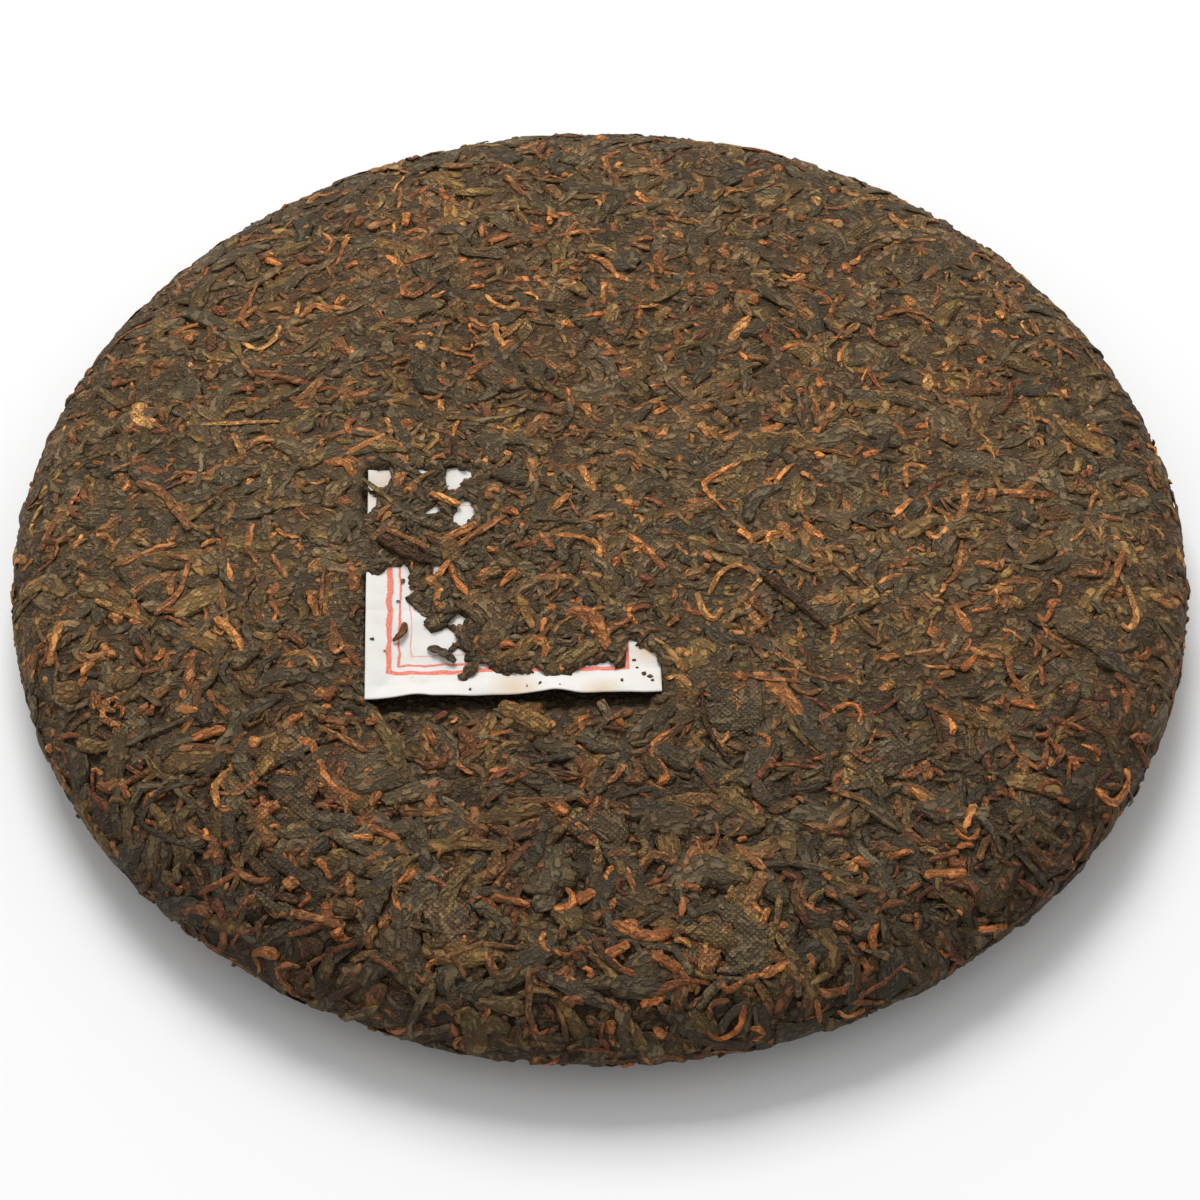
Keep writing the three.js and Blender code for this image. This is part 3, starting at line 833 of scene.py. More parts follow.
def underLip(x, y):
    # 1 along the strip of tea in front of the ticket's lifted bottom edge, 0 elsewhere
    local = toTicket(np.stack([x, y], -1))
    away = (local[..., 1] + ticket["height"] / 2 + ticket["lipOffset"]) / ticket["lipWidth"]
    inside = np.abs(local[..., 0]) < ticket["width"] / 2 - ticket["lipWidth"]
    return np.exp(-(away**2)) * inside


def bedToneAndShade(x, y):
    # soft patches of tone, and painted shade: darker towards the front than at the back and darkest on the
    # front rim
    c = bedColour
    front = np.clip((-y - c["frontFrom"]) / c["frontWidth"], 0, 1)
    soft = c["patch"] * patches(x, y, c["patchMm"], c["patchPhase"]) + c["base"]
    return soft - c["front"] * front - c["frontRimShade"] * front * rimness(x, y)


def bedHue(x, y):
    # soft patches of warmer and cooler leaves
    return patches(x, y, bedColour["hueMm"], bedColour["huePhase"])


def hexSpots(spacing, reach, jitter, rng):
    # rows of a hexagon grid over the plan, the grid turned and each spot moved by a part of the spacing;
    # there are enough rows to fill the reach when turned
    rowShare = 0.866
    spare = 1.1
    rows = int(reach * spare / (spacing * rowShare)) + 2
    j, i = np.meshgrid(np.arange(-rows, rows + 1), np.arange(-rows, rows + 1), indexing="ij")
    x = (i + 0.5 * (j % 2)) * spacing
    y = j * spacing * rowShare
    turn = rng.uniform(0, math.pi)
    spots = np.stack([x * math.cos(turn) - y * math.sin(turn), x * math.sin(turn) + y * math.cos(turn)], -1)
    spots = spots.reshape(-1, 2) + rng.uniform(-1, 1, (x.size, 2)) * jitter * spacing
    return spots[np.hypot(*spots.T) < reach]


def lengthShares(stations):
    # shares of the length, closer together towards both ends so that blunt ends keep their form
    return 0.5 - 0.5 * np.cos(np.pi * np.linspace(0, 1, stations))


def bentLines(centre, heading, length, bend, sway, stations):
    # walks along each leaf while the heading turns steadily and sways, then centres it on its spot
    share = lengthShares(stations)
    middle = (share[1:] + share[:-1]) / 2 - 0.5
    turn = heading[:, None] + bend[:, None] * middle + sway[:, None] * np.sin(2 * math.pi * middle)
    step = (length[:, None] * np.diff(share))[..., None] * np.stack([np.cos(turn), np.sin(turn)], -1)
    line = np.concatenate([np.zeros((len(centre), 1, 2)), np.cumsum(step, axis=1)], axis=1)
    return line - line.mean(axis=1, keepdims=True) + centre[:, None]


def sideways(line):
    # unit vectors to the left of each line
    way = np.gradient(line, axis=1)
    way /= np.maximum(np.linalg.norm(way, axis=-1, keepdims=True), tiny)
    return np.stack([-way[..., 1], way[..., 0]], -1)


def leafBodies(kind, side, line, half, level, sides, rng):
    # a ridged, twisting oval ring is carried along each line; rings close to blunt ends, everything
    # above the leaf's level is pressed down to it, and each point then goes onto the cake's form
    form = leafForm
    count, stations = line.shape[:2]
    t = lengthShares(stations)
    fromMiddle = 2 * t - 1
    blunt = rng.uniform(*kind["blunt"], (count, 1))
    close = np.sqrt(np.clip(1 - np.abs(fromMiddle) ** blunt, 0, 1))
    narrow = 1 - np.abs(t - rng.integers(0, 2, (count, 1))) * rng.uniform(0, form["taper"], (count, 1))
    # roughness smoothed along the leaf, then brought back to a spread of one
    smoothSpread = 2.45
    rough = rng.normal(0, 1, (count, stations + 2, sides))
    rough = (rough[:, :-2] + 2 * rough[:, 1:-1] + rough[:, 2:]) / smoothSpread
    swell = 1 + form["swell"] * rng.normal(0, 1, (count, stations))
    wide = half[:, None] * (form["endWidth"] + (1 - form["endWidth"]) * close) * narrow * swell
    angle = np.radians(np.linspace(-form["girth"], form["girth"], sides))
    spin = kind["twist"] * rng.normal(0, 1, (count, 1)) * 2 * math.pi * (t - 0.5)
    spin = spin + rng.uniform(0, 2 * math.pi, (count, 1))
    lobes = 1 + kind["ridge"] * np.cos(form["lobes"] * (angle - spin[..., None])) + kind["ragged"] * rough
    across = -wide[..., None] * np.sin(angle) * lobes
    upward = wide[..., None] * kind["body"] * np.cos(angle) * lobes
    thick = half * kind["body"]
    roundness = rng.uniform(*form["roundness"], count)
    roundness = roundness + (1.0 - roundness) * form["looseRoundness"] * looseness(*line.mean(axis=1).T)
    dive = rng.uniform(*form["dive"], (count, 1)) * np.abs(fromMiddle) ** 3
    tilt = rng.normal(0, form["tilt"], (count, 1)) * fromMiddle
    middle = (level - thick * roundness)[:, None] - dive + tilt
    lift = middle[..., None] + upward
    over = (lift - level[:, None, None]) / form["soft"]
    pressed = np.clip(over / form["softSteps"], 0, 1)
    lift = lift - form["soft"] * np.logaddexp(0, over) + form["pressedRough"] * rough * pressed
    hand = side[:, None, None]
    away = sideways(line)
    x = line[..., 0, None] + away[..., 0, None] * across * hand
    y = line[..., 1, None] + away[..., 1, None] * across * hand
    lift = lift + leafBed["lump"] * sampleField(lumps, x, y)
    return onCake(hand, x, y, lift), pressed, lift, wide


def tubeQuads(count, stations, sides):
    # quads between neighbour rings of each leaf, and each end ring closed by quads across it
    ring = np.arange(sides)
    following = (ring + 1) % sides
    station = np.arange(stations - 1)[:, None] * sides
    wall = np.stack([
        station + ring, station + following, station + sides + following, station + sides + ring], -1)
    start = np.array([[k + 2, k + 1, k, 0] for k in range(1, sides - 2, 2)])
    end = start[:, ::-1] + (stations - 1) * sides
    one = np.concatenate([wall.reshape(-1, 4), start, end])
    return (np.arange(count)[:, None, None] * stations * sides + one).reshape(-1, 4)


def leafAttributes(kind, points, line, wide, pressed, lift, rng):
    # per-leaf tone and hue, per-point press and depth, and a length by girth map in millimetres, which
    # starts at another place for each leaf; the girth is about 1.4 of the half width to each side
    girthShare = 1.4
    mapReach = 400
    count, stations, sides = points.shape[:3]
    each = np.ones((count, stations, sides))
    centre = line.mean(axis=1)
    low, high = kind["tones"]
    # each leaf's own tone plus the bed's tone patches and painted shade towards the front
    tone = low + (high - low) * rng.uniform(0, 1, count) + bedToneAndShade(*centre.T)
    hue = np.clip(rng.uniform(0, 1, count) + bedColour["leafHue"] * bedHue(*centre.T), 0, 1)
    steps = np.linalg.norm(np.diff(line, axis=1), axis=-1)
    length = np.concatenate([np.zeros((count, 1)), np.cumsum(steps, axis=1)], axis=1)
    girth = np.linspace(-girthShare, girthShare, sides) * wide[..., None]
    start = rng.uniform(0, mapReach, (count, 1, 1, 2))
    uv = np.stack([length[..., None] * each, girth], -1) + start
    values = {
        "tone": tone[:, None, None] * each,
        "hue": hue[:, None, None] * each,
        "pressed": np.maximum(pressed, pressedHere(*centre.T)[:, None, None] * each),
        # depth drives the painted shade of deep places
        "depth": np.maximum(-lift, 0),
    }
    return {key: value.reshape(-1) for key, value in values.items()}, uv.reshape(-1, 2)


def clearOfPaper(line, half, side):
    # leaves of the top face keep off the bare paper along their whole length and width
    away = sideways(line)
    clear = np.ones(len(line), bool)
    for share in leafBed["clearShares"]:
        clear &= ~showsPaper(line + away * (half * share)[:, None, None]).any(1)
    return clear | (side < 0)


def leafPiece(name, kind, side, line, half, level, rng):
    # all leaves of one kind become one mesh
    sides = kind.get("sides", leafBed["sides"])
    points, pressed, lift, wide = leafBodies(kind, side, line, half, level, sides, rng)
    values, uv = leafAttributes(kind, points, line, wide, pressed, lift, rng)
    quads = tubeQuads(len(line), line.shape[1], sides)
    print(f"  {name}: {len(line)} leaves, {len(quads) * 2} triangles")
    material = leafMaterials[kind["material"]]
    return pieceFromArrays(name, points.reshape(-1, 3), quads, material, attributes=values, uv=uv)


def scatterKind(name, kind, rng):
    # jittered spots on both sides; small leaves are common, large ones rare; near the rim the bed is looser
    bed = leafBed
    top = hexSpots(kind["spacing"], bed["topReach"], bed["jitter"], rng)
    under = hexSpots(kind["spacing"] * bed["underSpacing"], bed["underReach"], bed["jitter"], rng)
    centre = np.concatenate([top, under])
    side = np.concatenate([np.ones(len(top)), -np.ones(len(under))])
    count = len(centre)
    size = np.where(side > 0, bed["topSize"] + bed["frontSize"] * frontness(*centre.T), bed["underSize"])
    (short, long), (narrow, broad) = kind["length"], kind["width"]
    length = size * (short + (long - short) * rng.uniform(0, 1, count) ** bed["longRarity"])
    half = size * (narrow + (broad - narrow) * rng.uniform(0, 1, count) ** bed["wideRarity"]) / 2
    loose = looseness(*centre.T)
    flow = bed["flow"] * math.pi * patches(*centre.T, bed["flowMm"], bed["flowPhase"])
    heading = flow + rng.normal(0, bed["headingSpread"], count)
    hooked = rng.uniform(0, 1, count) < kind["hooks"] * (1 + loose)
    bend = np.where(
        hooked,
        rng.choice([-1, 1], count) * rng.uniform(*bed["hookTurns"], count),
        np.radians(kind["bend"]) * rng.normal(0, 1, count))
    stations = kind.get("stations", bed["stations"])
    line = bentLines(centre, heading, length, bend, rng.normal(0, bed["sway"], count), stations)
    layer = bed["layer"] + (bed["rimLayer"] - bed["layer"]) * loose
    level = bed["topLevel"] - rng.uniform(0, 1, count) * layer
    topLevel = level - ticket["lipDepth"] * underLip(*centre.T)
    level = np.where(side < 0, np.minimum(level, bed["underLevel"]), topLevel)
    keep = clearOfPaper(line, half, side)
    return leafPiece(name, kind, side[keep], line[keep], half[keep], level[keep], rng)


# Small leaf bits that cover the ticket up to its bare margins
coverKind = dict(
    spacing=1.35, length=(1.6, 4.6), width=(0.9, 1.9), body=0.5, twist=0.2, ridge=0.12, ragged=0.16,
    blunt=(2, 5), tones=(0.0, 0.8), stations=5, sides=6, bendSpread=0.8, level=(0.05, 0.75),
    margin=1.5, mostLip=0.1, material="slateLeaf")

# Crumbs that lie on the paper: width, then place, in photo pixels
paperCrumbs = {
    "bits": [
        (3, 637, 665), (4, 643, 672), (5, 650, 675), (3, 652, 680), (3, 622, 680), (2, 527, 686),
        (3, 372, 640), (2, 384, 650), (2, 560, 688), (4, 402, 577), (3, 398, 598), (2, 470, 690),
        (3, 540, 684), (3, 634, 656),
    ],
    "lift": 0.25,
    "lengthShare": 3,
    "sink": 0.5,
    "stations": 4,
}


def coverPiece(name, kind, rng):
    # close spots over the covered part of the ticket and a little round it; a bit may poke out over the
    # bare paper with its ends but not with its middle
    spots = hexSpots(kind["spacing"], ticket["width"], leafBed["jitter"], rng) + np.array(ticket["centre"])
    spots = spots[overTicket(spots, kind["margin"]) & (underLip(*spots.T) < kind["mostLip"])]
    count = len(spots)
    length = rng.uniform(*kind["length"], count)
    half = rng.uniform(*kind["width"], count) / 2
    line = bentLines(spots, rng.uniform(0, math.pi, count), length, rng.normal(0, kind["bendSpread"], count),
                     rng.normal(0, leafBed["sway"], count), kind["stations"])
    keep = ~showsPaper(line[:, 1:-1]).any(1)
    level = -rng.uniform(*kind["level"], count)
    return leafPiece(name, kind, np.ones(keep.sum()), line[keep], half[keep], level[keep], rng)


def crumbPiece(name, rng):
    # short straight bits lie on the paper at its own lift
    bits = np.array(paperCrumbs["bits"], float)
    spots = fromPhoto(bits[:, 1:])
    count = len(spots)
    half = bits[:, 0] / shownSettings["pixelsPerMm"] / 2
    straight = np.zeros(count)
    line = bentLines(spots, rng.uniform(0, math.pi, count), half * paperCrumbs["lengthShare"], straight,
                     straight, paperCrumbs["stations"])
    local = toTicket(spots)
    level = paperLift(local[:, 0], local[:, 1]) + paperCrumbs["lift"] + half * paperCrumbs["sink"]
    return leafPiece(name, dict(coverKind, material="umberLeaf"), np.ones(count), line, half, level, rng)


# Leaves that stand out in the photo, by their look: width, then the places they run through, in pixels
shownSettings = {
    "stations": 13,
    "pixelsPerMm": 5.4,
    "level": 0.14,
    "twist": 0.15,
    "blunt": (3, 6),
}
shownLeaves = {
    "shownDark": dict(material="slateLeaf", body=0.5, ridge=0.12, ragged=0.1, tones=(0.0, 0.5), leaves=[
        (6, (527, 516), (580, 521)), (8, (427, 646), (440, 650), (455, 660)),
        (11, (480, 655), (470, 668), (460, 678)), (7, (530, 762), (580, 752)), (14, (418, 815), (428, 870)),
        (14, (548, 815), (530, 870)), (11, (520, 885), (560, 895)),
        (20, (610, 985), (650, 990), (690, 990)), (7, (120, 748), (193, 715)), (14, (270, 855), (320, 890)),
        (6, (200, 780), (160, 790), (142, 815), (150, 830), (210, 855)), (7, (1015, 850), (1048, 888)),
        (12, (968, 805), (985, 785)), (6, (930, 325), (950, 335)), (7, (255, 685), (262, 665), (280, 652)),
        (9, (700, 750), (735, 770)), (16, (640, 840), (655, 800)), (12, (860, 800), (905, 830)),
        (12, (300, 460), (270, 500)), (9, (380, 454), (420, 473)), (16, (880, 395), (930, 405)),
    ]),
    "shownOlive": dict(material="oliveLeaf", body=0.5, ridge=0.1, ragged=0.1, tones=(0.2, 0.8), leaves=[
        (22, (600, 640), (545, 672)), (9, (517, 593), (533, 627)), (22, (468, 822), (545, 805)),
        (9, (443, 845), (468, 828)), (6, (362, 478), (405, 510)), (16, (480, 1000), (530, 1010)),
        (20, (705, 850), (752, 880)), (18, (500, 700), (550, 730)), (14, (145, 798), (170, 830)),
        (8, (95, 600), (150, 622)), (14, (155, 625), (180, 640)), (12, (1040, 640), (1085, 660)),
        (16, (385, 740), (410, 780)), (14, (905, 640), (870, 660)), (10, (455, 193), (498, 190)),
    ]),
    "shownBrown": dict(material="brownLeaf", body=0.55, ridge=0.12, ragged=0.1, tones=(0.1, 0.8), leaves=[
        (8, (405, 620), (402, 632), (393, 640)), (8, (456, 545), (505, 515)), (8, (536, 530), (555, 549)),
        (9, (531, 577), (577, 576)), (7, (514, 546), (539, 541)), (12, (350, 565), (355, 590)),
        (8, (330, 615), (340, 640), (360, 665)), (18, (765, 675), (815, 725)), (6, (720, 672), (800, 682)),
        (20, (710, 938), (706, 975)), (10, (490, 893), (530, 905)), (12, (682, 870), (697, 845)),
        (10, (735, 843), (765, 870)), (8, (625, 862), (635, 890)), (8, (425, 725), (435, 745)),
        (14, (460, 725), (475, 750)), (6, (710, 1020), (712, 1005), (730, 1000)),
        (9, (685, 895), (680, 917)), (9, (318, 758), (332, 785), (362, 800)), (7, (345, 760), (335, 785)),
        (8, (380, 790), (370, 805)), (8, (120, 783), (128, 798)), (6, (92, 690), (97, 706)),
        (7, (230, 867), (255, 880), (270, 878)), (10, (355, 820), (400, 838)), (12, (212, 840), (220, 865)),
        (9, (213, 895), (225, 922)), (10, (290, 912), (345, 925)), (7, (370, 955), (398, 972)),
        (7, (318, 718), (348, 722)), (9, (325, 700), (335, 685)), (10, (135, 480), (165, 495), (190, 530)),
        (9, (62, 505), (40, 550)), (9, (115, 565), (150, 550), (177, 543)),
        (8, (190, 555), (180, 590), (155, 615)), (7, (270, 552), (287, 578)), (6, (255, 605), (262, 625)),
        (6, (165, 670), (168, 655), (180, 650)), (8, (97, 650), (115, 655)), (6, (930, 860), (960, 850)),
        (7, (880, 748), (856, 752), (870, 762), (888, 756)), (14, (938, 805), (946, 815)),
        (8, (1048, 717), (1092, 733)), (7, (1048, 717), (1050, 733), (1035, 735)),
        (8, (1062, 743), (1058, 755)), (8, (1092, 742), (1100, 755)), (9, (1130, 738), (1155, 738)),
        (6, (1003, 725), (1015, 750), (1040, 768), (1048, 745)), (10, (975, 562), (1000, 566)),
        (9, (250, 370), (310, 383)), (9, (213, 305), (225, 315)), (7, (403, 262), (435, 252)),
        (8, (490, 240), (515, 233)), (8, (505, 175), (525, 195)), (9, (530, 230), (545, 228)),
        (8, (465, 375), (495, 358)), (7, (600, 353), (618, 353)), (10, (675, 325), (680, 345)),
        (8, (690, 280), (692, 295)), (6, (885, 315), (905, 310), (925, 315), (935, 322)),
        (5, (978, 312), (980, 330)), (8, (835, 400), (828, 412)), (6, (800, 472), (815, 478)),
        (8, (722, 440), (742, 430)), (8, (820, 430), (835, 402)),
        (7, (1035, 610), (1045, 620), (1055, 603)), (7, (1010, 655), (1012, 675), (1035, 705)),
        (6, (1040, 660), (1043, 685)), (8, (775, 652), (805, 668)), (9, (1125, 550), (1113, 585)),
        (8, (833, 922), (853, 930)), (6, (762, 610), (752, 600), (765, 590)),
    ]),
    "shownOrange": dict(material="orangeBud", body=0.55, ridge=0.1, ragged=0.11, tones=(0.2, 0.9), leaves=[
        (8, (430, 491), (460, 505)), (9, (442, 540), (477, 523)), (8, (450, 560), (455, 578), (468, 595)),
        (7, (450, 560), (433, 580)), (9, (620, 527), (642, 545), (665, 568)),
        (14, (564, 612), (592, 612), (607, 649)), (5, (588, 611), (607, 606)),
        (8, (553, 534), (580, 536), (594, 543)), (8, (500, 585), (517, 568)), (7, (552, 509), (570, 493)),
        (9, (581, 466), (588, 480), (595, 491)), (9, (504, 451), (511, 455)), (8, (616, 499), (640, 504)),
        (9, (330, 462), (345, 463), (357, 478)), (8, (345, 455), (385, 432)), (10, (778, 520), (793, 542)),
        (6, (740, 462), (705, 482), (712, 497), (730, 512)), (7, (890, 518), (912, 498)),
        (8, (925, 528), (935, 537), (948, 528), (945, 512)), (7, (1003, 490), (1045, 497)),
        (10, (955, 605), (970, 632)), (9, (880, 658), (900, 655)), (10, (845, 262), (848, 272)),
        (8, (905, 295), (915, 305)), (10, (818, 376), (822, 386)), (9, (998, 310), (1003, 318)),
        (9, (1046, 338), (1054, 346)), (8, (672, 728), (652, 748), (665, 775), (657, 783)),
        (12, (605, 918), (645, 935), (672, 930)), (10, (600, 958), (630, 942)),
        (12, (650, 950), (680, 970)), (11, (575, 900), (595, 890)), (14, (556, 808), (568, 812)),
        (7, (705, 1030), (718, 1040), (738, 1030), (745, 1005)), (6, (720, 975), (728, 990), (745, 980)),
        (7, (640, 1005), (665, 998)), (7, (655, 1028), (665, 1038)), (8, (612, 1020), (610, 1035)),
        (10, (762, 975), (790, 962)), (8, (859, 943), (867, 948)), (6, (817, 1000), (820, 1024)),
        (7, (852, 1003), (885, 1003)), (6, (830, 990), (848, 992)), (7, (933, 962), (938, 985)),
        (7, (980, 930), (1010, 927)), (6, (768, 1042), (776, 1045)), (12, (190, 738), (225, 727)),
        (9, (170, 707), (205, 712)), (8, (353, 835), (373, 838)), (9, (330, 935), (343, 930)),
        (8, (318, 855), (330, 878)), (8, (365, 722), (378, 720)), (9, (95, 535), (108, 535)),
        (9, (60, 620), (48, 665)), (9, (215, 615), (235, 635), (243, 652)), (8, (80, 675), (93, 660)),
        (9, (975, 802), (965, 828)), (8, (888, 857), (912, 850)), (9, (925, 873), (968, 873)),
        (7, (1003, 877), (1003, 890)), (7, (853, 858), (870, 866)),
        (6, (830, 712), (850, 703), (861, 712), (858, 722)),
        (8, (1095, 787), (1115, 803), (1128, 785), (1128, 768)), (9, (1070, 755), (1080, 770)),
        (10, (265, 258), (283, 265)), (8, (248, 300), (242, 318), (250, 328)),
        (7, (300, 318), (315, 305), (333, 312)), (6, (463, 288), (485, 285)),
        (7, (495, 320), (497, 335), (508, 350)), (8, (588, 255), (605, 262), (620, 278)),
        (8, (605, 280), (602, 298)), (8, (582, 315), (615, 312)), (8, (703, 282), (718, 288)),
        (12, (730, 340), (750, 315)), (9, (407, 210), (405, 225)), (7, (1010, 700), (1040, 708)),
        (8, (308, 590), (317, 615)), (5, (270, 600), (277, 612), (272, 622)),
    ]),
    "shownGolden": dict(material="goldenBud", body=0.6, ridge=0.08, ragged=0.1, tones=(0.2, 0.9), leaves=[
        (9, (697, 592), (704, 612), (714, 619), (722, 606)),
        (6, (708, 595), (722, 572), (738, 565), (755, 572)), (6, (907, 487), (907, 465), (930, 467)),
        (8, (1128, 585), (1137, 615), (1130, 628), (1122, 622)), (9, (815, 196), (819, 206)),
        (9, (836, 218), (840, 227)), (8, (810, 228), (814, 236)), (9, (928, 370), (928, 390)),
        (7, (1063, 388), (1067, 398)), (6, (838, 1012), (850, 1017), (866, 1010)),
        (9, (235, 762), (215, 785), (218, 808)), (8, (232, 430), (243, 455)), (4, (200, 425), (280, 420)),
        (7, (280, 655), (305, 653), (317, 668)),
        (6, (238, 335), (250, 347), (262, 348), (275, 338), (281, 322)),
        (15, (140, 400), (138, 418), (155, 424)), (7, (485, 293), (495, 303), (510, 308), (519, 302)),
        (9, (416, 341), (424, 348)), (9, (614, 484), (624, 491)), (6, (762, 578), (750, 590)),
    ]),
    "shownTwigs": dict(material="umberLeaf", body=0.8, ridge=0.1, ragged=0.08, tones=(-0.9, -0.5),
        level=0.75, leaves=[
        (13, (378, 537), (405, 552), (432, 563)), (10, (760, 573), (795, 600), (826, 628)),
        (5, (701, 688), (706, 725), (730, 765)),
    ]),
    "shownBark": dict(material="brownLeaf", body=0.6, ridge=0.1, ragged=0.1, tones=(0.2, 0.6),
        level=0.95, leaves=[
        (6, (386, 531), (408, 541), (429, 551)),
    ]),
    "shownFlats": dict(material="slateLeaf", body=0.16, ridge=0.05, ragged=0.12, tones=(0.1, 0.4),
        level=0.1, leaves=[
        (44, (703, 714), (764, 712)), (26, (718, 903), (768, 945)), (38, (648, 822), (690, 820)),
        (28, (700, 862), (752, 876)), (26, (585, 815), (620, 835)), (30, (270, 780), (312, 800)),
        (24, (860, 775), (900, 765)), (26, (655, 745), (690, 765)),
    ]),
    "shownRed": dict(material="redLeaf", body=0.6, ridge=0.1, ragged=0.08, tones=(0.2, 0.9), leaves=[
        (5, (68, 500), (72, 512), (82, 518)), (4, (325, 560), (320, 615)), (7, (1033, 350), (1037, 360)),
        (8, (703, 550), (712, 560)), (6, (435, 720), (447, 710)), (9, (640, 575), (655, 582)),
        (8, (990, 380), (1003, 386)), (9, (1085, 470), (1097, 478)), (8, (760, 420), (775, 414)),
    ]),
}


def smoothPath(points, stations):
    # a curve through all points: each span blends its two end points and their neighbours by cubic weights
    almostWhole = 0.9999
    padded = np.vstack([2 * points[0] - points[1], points, 2 * points[-1] - points[-2]])
    t = lengthShares(stations) * (len(points) - 1) * almostWhole
    first = t.astype(int)
    f = (t - first)[:, None]
    a, b, c, d = (padded[first + k] for k in range(4))
    return 0.5 * (2 * b + (c - a) * f + (2 * a - 5 * b + 4 * c - d) * f**2 + (3 * b - a - 3 * c + d) * f**3)


def shownPiece(name, kind, rng):
    # photo places become plan places; a pixel's width is halved and brought to millimetres
    s = shownSettings
    line = np.stack([smoothPath(fromPhoto(leaf[1:]), s["stations"]) for leaf in kind["leaves"]])
    half = np.array([leaf[0] for leaf in kind["leaves"]]) / s["pixelsPerMm"] / 2
    full = dict(kind, twist=s["twist"], blunt=s["blunt"])
    level = np.full(len(line), kind.get("level", s["level"]))
    return leafPiece(name, full, np.ones(len(line)), line, half, level, rng)


# Core

# A dark bed of leaves under and between the others, in millimetres. The stamps are its low leaf forms;
# the grain of its material is squeezed sideways by mapSqueeze.
core = {
    "topSteps": 312,
    "underSteps": 300,
    "lift": -0.8,
    "rimRise": -0.2,
    "frontDrop": 0.6,
    "edgeFrom": 97.0,
    "edgeWidth": 7.0,
    "relief": 0.6,
    "crumple": 0.1,
    "stamps": 11000,
    "stampLength": (3, 10),
    "stampHalfWidth": (0.6, 1.6),
    "stampHeight": (0.3, 1),
    "stampTones": (0, 0.8),
    "stampPoints": (35, 13),
    "stampFlatness": 0.4,
    "tone": 0.3,
    "hue": 0.5,
    "overPaper": -0.7,
    "overPaperRelief": 0.25,
    "paperMargin": -0.4,
    "underPaper": -2.3,
    "mapSqueeze": 3,
    "fanDepth": 2,
}


def stampedBed(rng):
    # long low bumps are stamped on a square field, highest last, so that each point keeps the highest;
    # its tone goes into a second field
    c = core
    count = c["stamps"]
    centre = rng.uniform(-fieldReach, fieldReach, (count, 2))
    heading = rng.uniform(0, math.pi, count)
    length = rng.uniform(*c["stampLength"], count)
    half = rng.uniform(*c["stampHalfWidth"], count)
    height = rng.uniform(*c["stampHeight"], count)
    tone = rng.uniform(*c["stampTones"], count)
    shares = [np.linspace(-1, 1, points) for points in c["stampPoints"]]
    a, b = [grid.ravel() for grid in np.meshgrid(*shares, indexing="ij")]
    along = a * length[:, None] / 2
    across = b * half[:, None]
    x = centre[:, :1] + np.cos(heading)[:, None] * along - np.sin(heading)[:, None] * across
    y = centre[:, 1:] + np.sin(heading)[:, None] * along + np.cos(heading)[:, None] * across
    value = height[:, None] * ((1 - a**4) * (1 - b**2)) ** c["stampFlatness"]
    field = np.zeros((fieldSize, fieldSize))
    tones = np.full((fieldSize, fieldSize), c["tone"])
    order = np.argsort(value.ravel())
    i, j = [
        np.clip(((place + fieldReach) / fieldPixel).astype(int), 0, fieldSize - 1).ravel()[order]
        for place in (x, y)]
    field[i, j] = value.ravel()[order]
    tones[i, j] = np.broadcast_to(tone[:, None], value.shape).ravel()[order]
    return field, tones


def coreHalf(name, side, reach, steps, rng):
    # a square grid bent to a disc over the plan, lifted by the stamped bed and closed by a fan inside
    n = steps + 1
    a, b = np.meshgrid(np.linspace(-1, 1, n), np.linspace(-1, 1, n), indexing="ij")
    big = np.maximum(np.abs(a), np.abs(b))
    scale = np.where(big > 0, big / np.maximum(np.hypot(a, b), tiny), 0) * reach
    x, y = a * scale, b * scale
    field, tones = stampedBed(rng)
    bed = sampleField(field, x, y)
    lift = core["lift"] + core["rimRise"] * rimness(x, y) + core["relief"] * bed
    edge = np.clip((np.hypot(x, y) - core["edgeFrom"]) / core["edgeWidth"], 0, 1)
    lift = lift - core["frontDrop"] * frontness(x, y) * (1 - edge)
    lift = lift + core["crumple"] * sampleField(lumps, x, y)
    if side > 0:
        lift = lift - ticket["lipDepth"] * underLip(x, y)
        plan = np.stack([x, y], -1)
        cover = core["overPaper"] + core["overPaperRelief"] * bed
        lift = np.where(overTicket(plan, core["paperMargin"]), cover, lift)
        lift = np.where(showsPaper(plan), core["underPaper"], lift)
    points = onCake(np.full(x.shape, side), x, y, lift).reshape(-1, 3)
    quads, rim = gridQuads(n)
    hub = np.full(len(rim) // 2, len(points))
    points = np.concatenate([points, [[0, 0, cake["widestHeight"]]]])
    fan = np.stack([rim[0::2], hub, np.roll(rim, -2)[0::2], np.roll(rim, -1)[0::2]], -1)
    quads = np.concatenate([quads, fan])
    if side < 0:
        quads = quads[:, ::-1]
    uv = np.concatenate([np.stack([x * core["mapSqueeze"], y - lift], -1).reshape(-1, 2), [[0, 0]]])
    # tone holds the bed's painted shade towards the front; depth, fanDepth at the hub too, drives the
    # painted shade of deep places
    values = {
        "tone": np.append(sampleField(tones, x, y) + bedToneAndShade(x, y), core["tone"]),
        "hue": np.append(core["hue"] + bedColour["coreHue"] * bedHue(x, y), core["hue"]),
        "pressed": np.append(pressedHere(x, y), 0),
        "depth": np.append(np.maximum(-lift, 0), core["fanDepth"]),
    }
    return pieceFromArrays(name, points, quads, leafMaterials["coreLeaf"], attributes=values, uv=uv)


ticketPiece = makeTicket()
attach(ticketPiece, "root")
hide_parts("paper_ticket")
print("stage 2: ticket made")

coreRandom = np.random.default_rng(seed + 2)
corePieces = [
    coreHalf("teaCoreTop", 1, widestRun, core["topSteps"], coreRandom),
    coreHalf("teaCoreUnder", -1, wholeRun - widestRun, core["underSteps"], coreRandom),
]
print("stage 3: core made")

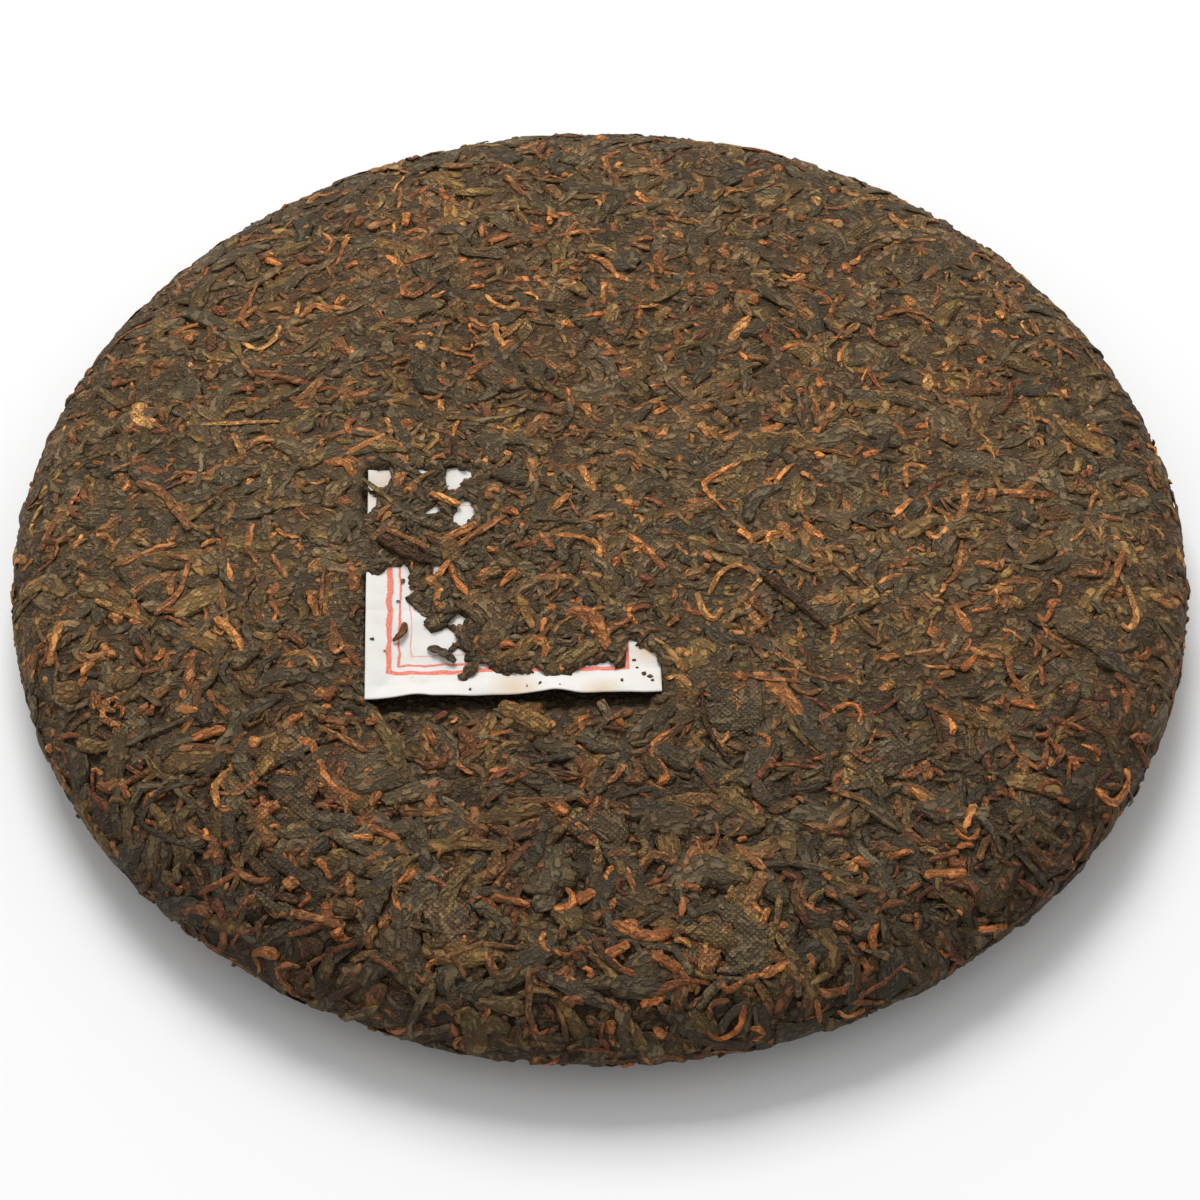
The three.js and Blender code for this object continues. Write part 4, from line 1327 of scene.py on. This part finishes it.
leafRandom = np.random.default_rng(seed)
leafPieces = [scatterKind(name, kind, leafRandom) for name, kind in leafKinds.items()]
leafPieces.append(coverPiece("coverBits", coverKind, leafRandom))
leafPieces += [shownPiece(name, kind, leafRandom) for name, kind in shownLeaves.items()]
leafPieces.append(crumbPiece("paperCrumbs", leafRandom))
print("stage 4: leaves made")

for piece in corePieces + leafPieces:
    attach(piece, "root")
    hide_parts("tea_cake")


# Floor, light and camera, in metres and watts

studio = {
    "floorSize": 4.0,
    "floorColour": "#ececec",
    "floorRoughness": 0.9,
    "world": 0.62,
    "keyPower": 38.0,
    "keySize": 1.1,
    "keyPlace": (-0.25, 1.3, 1.75),
}


def makeStudio():
    # a wide matt painted floor, one large soft light high behind the cake and an even white sky
    half = studio["floorSize"] / 2 / millimetre
    points = np.array([[-half, -half, 0], [half, -half, 0], [half, half, 0], [-half, half, 0]], float)
    m = newMaterial("paleFloor")
    shader = addNode(m, "ShaderNodeBsdfPrincipled", {
        "Base Color": linear(studio["floorColour"]), "Roughness": studio["floorRoughness"]})
    addNode(m, "ShaderNodeOutputMaterial", {"Surface": shader})
    pieceFromArrays("floor", points, np.array([[0, 1, 2, 3]]), m, smooth=False)
    light = bpy.data.lights.new("keyLight", "AREA")
    light.size = studio["keySize"]
    light.energy = studio["keyPower"]
    lamp = bpy.data.objects.new("keyLight", light)
    lamp.location = studio["keyPlace"]
    lamp.rotation_euler = (-Vector(studio["keyPlace"])).to_track_quat("-Z", "Y").to_euler()
    bpy.context.scene.collection.objects.link(lamp)
    world = bpy.data.worlds.new("softStudio")
    world.use_nodes = True
    sky = world.node_tree.nodes["Background"]
    sky.inputs["Color"].default_value = (1, 1, 1, 1)
    sky.inputs["Strength"].default_value = studio["world"]
    bpy.context.scene.world = world
    bpy.context.scene.view_settings.view_transform = "Standard"


def makeCamera():
    # the eye stands back from its target along the line of sight
    forward, _ = cameraAxes()
    target = np.array(photoCamera["target"]) * millimetre
    data = bpy.data.cameras.new("photoCamera")
    data.lens = photoCamera["lens"]
    data.sensor_width = photoCamera["sensor"]
    camera = bpy.data.objects.new("photoCamera", data)
    camera.location = target - photoCamera["distance"] * millimetre * forward
    camera.rotation_euler = Vector(forward).to_track_quat("-Z", "Y").to_euler()
    bpy.context.scene.collection.objects.link(camera)
    bpy.context.scene.camera = camera


makeStudio()
makeCamera()
print("stage 5: studio made")
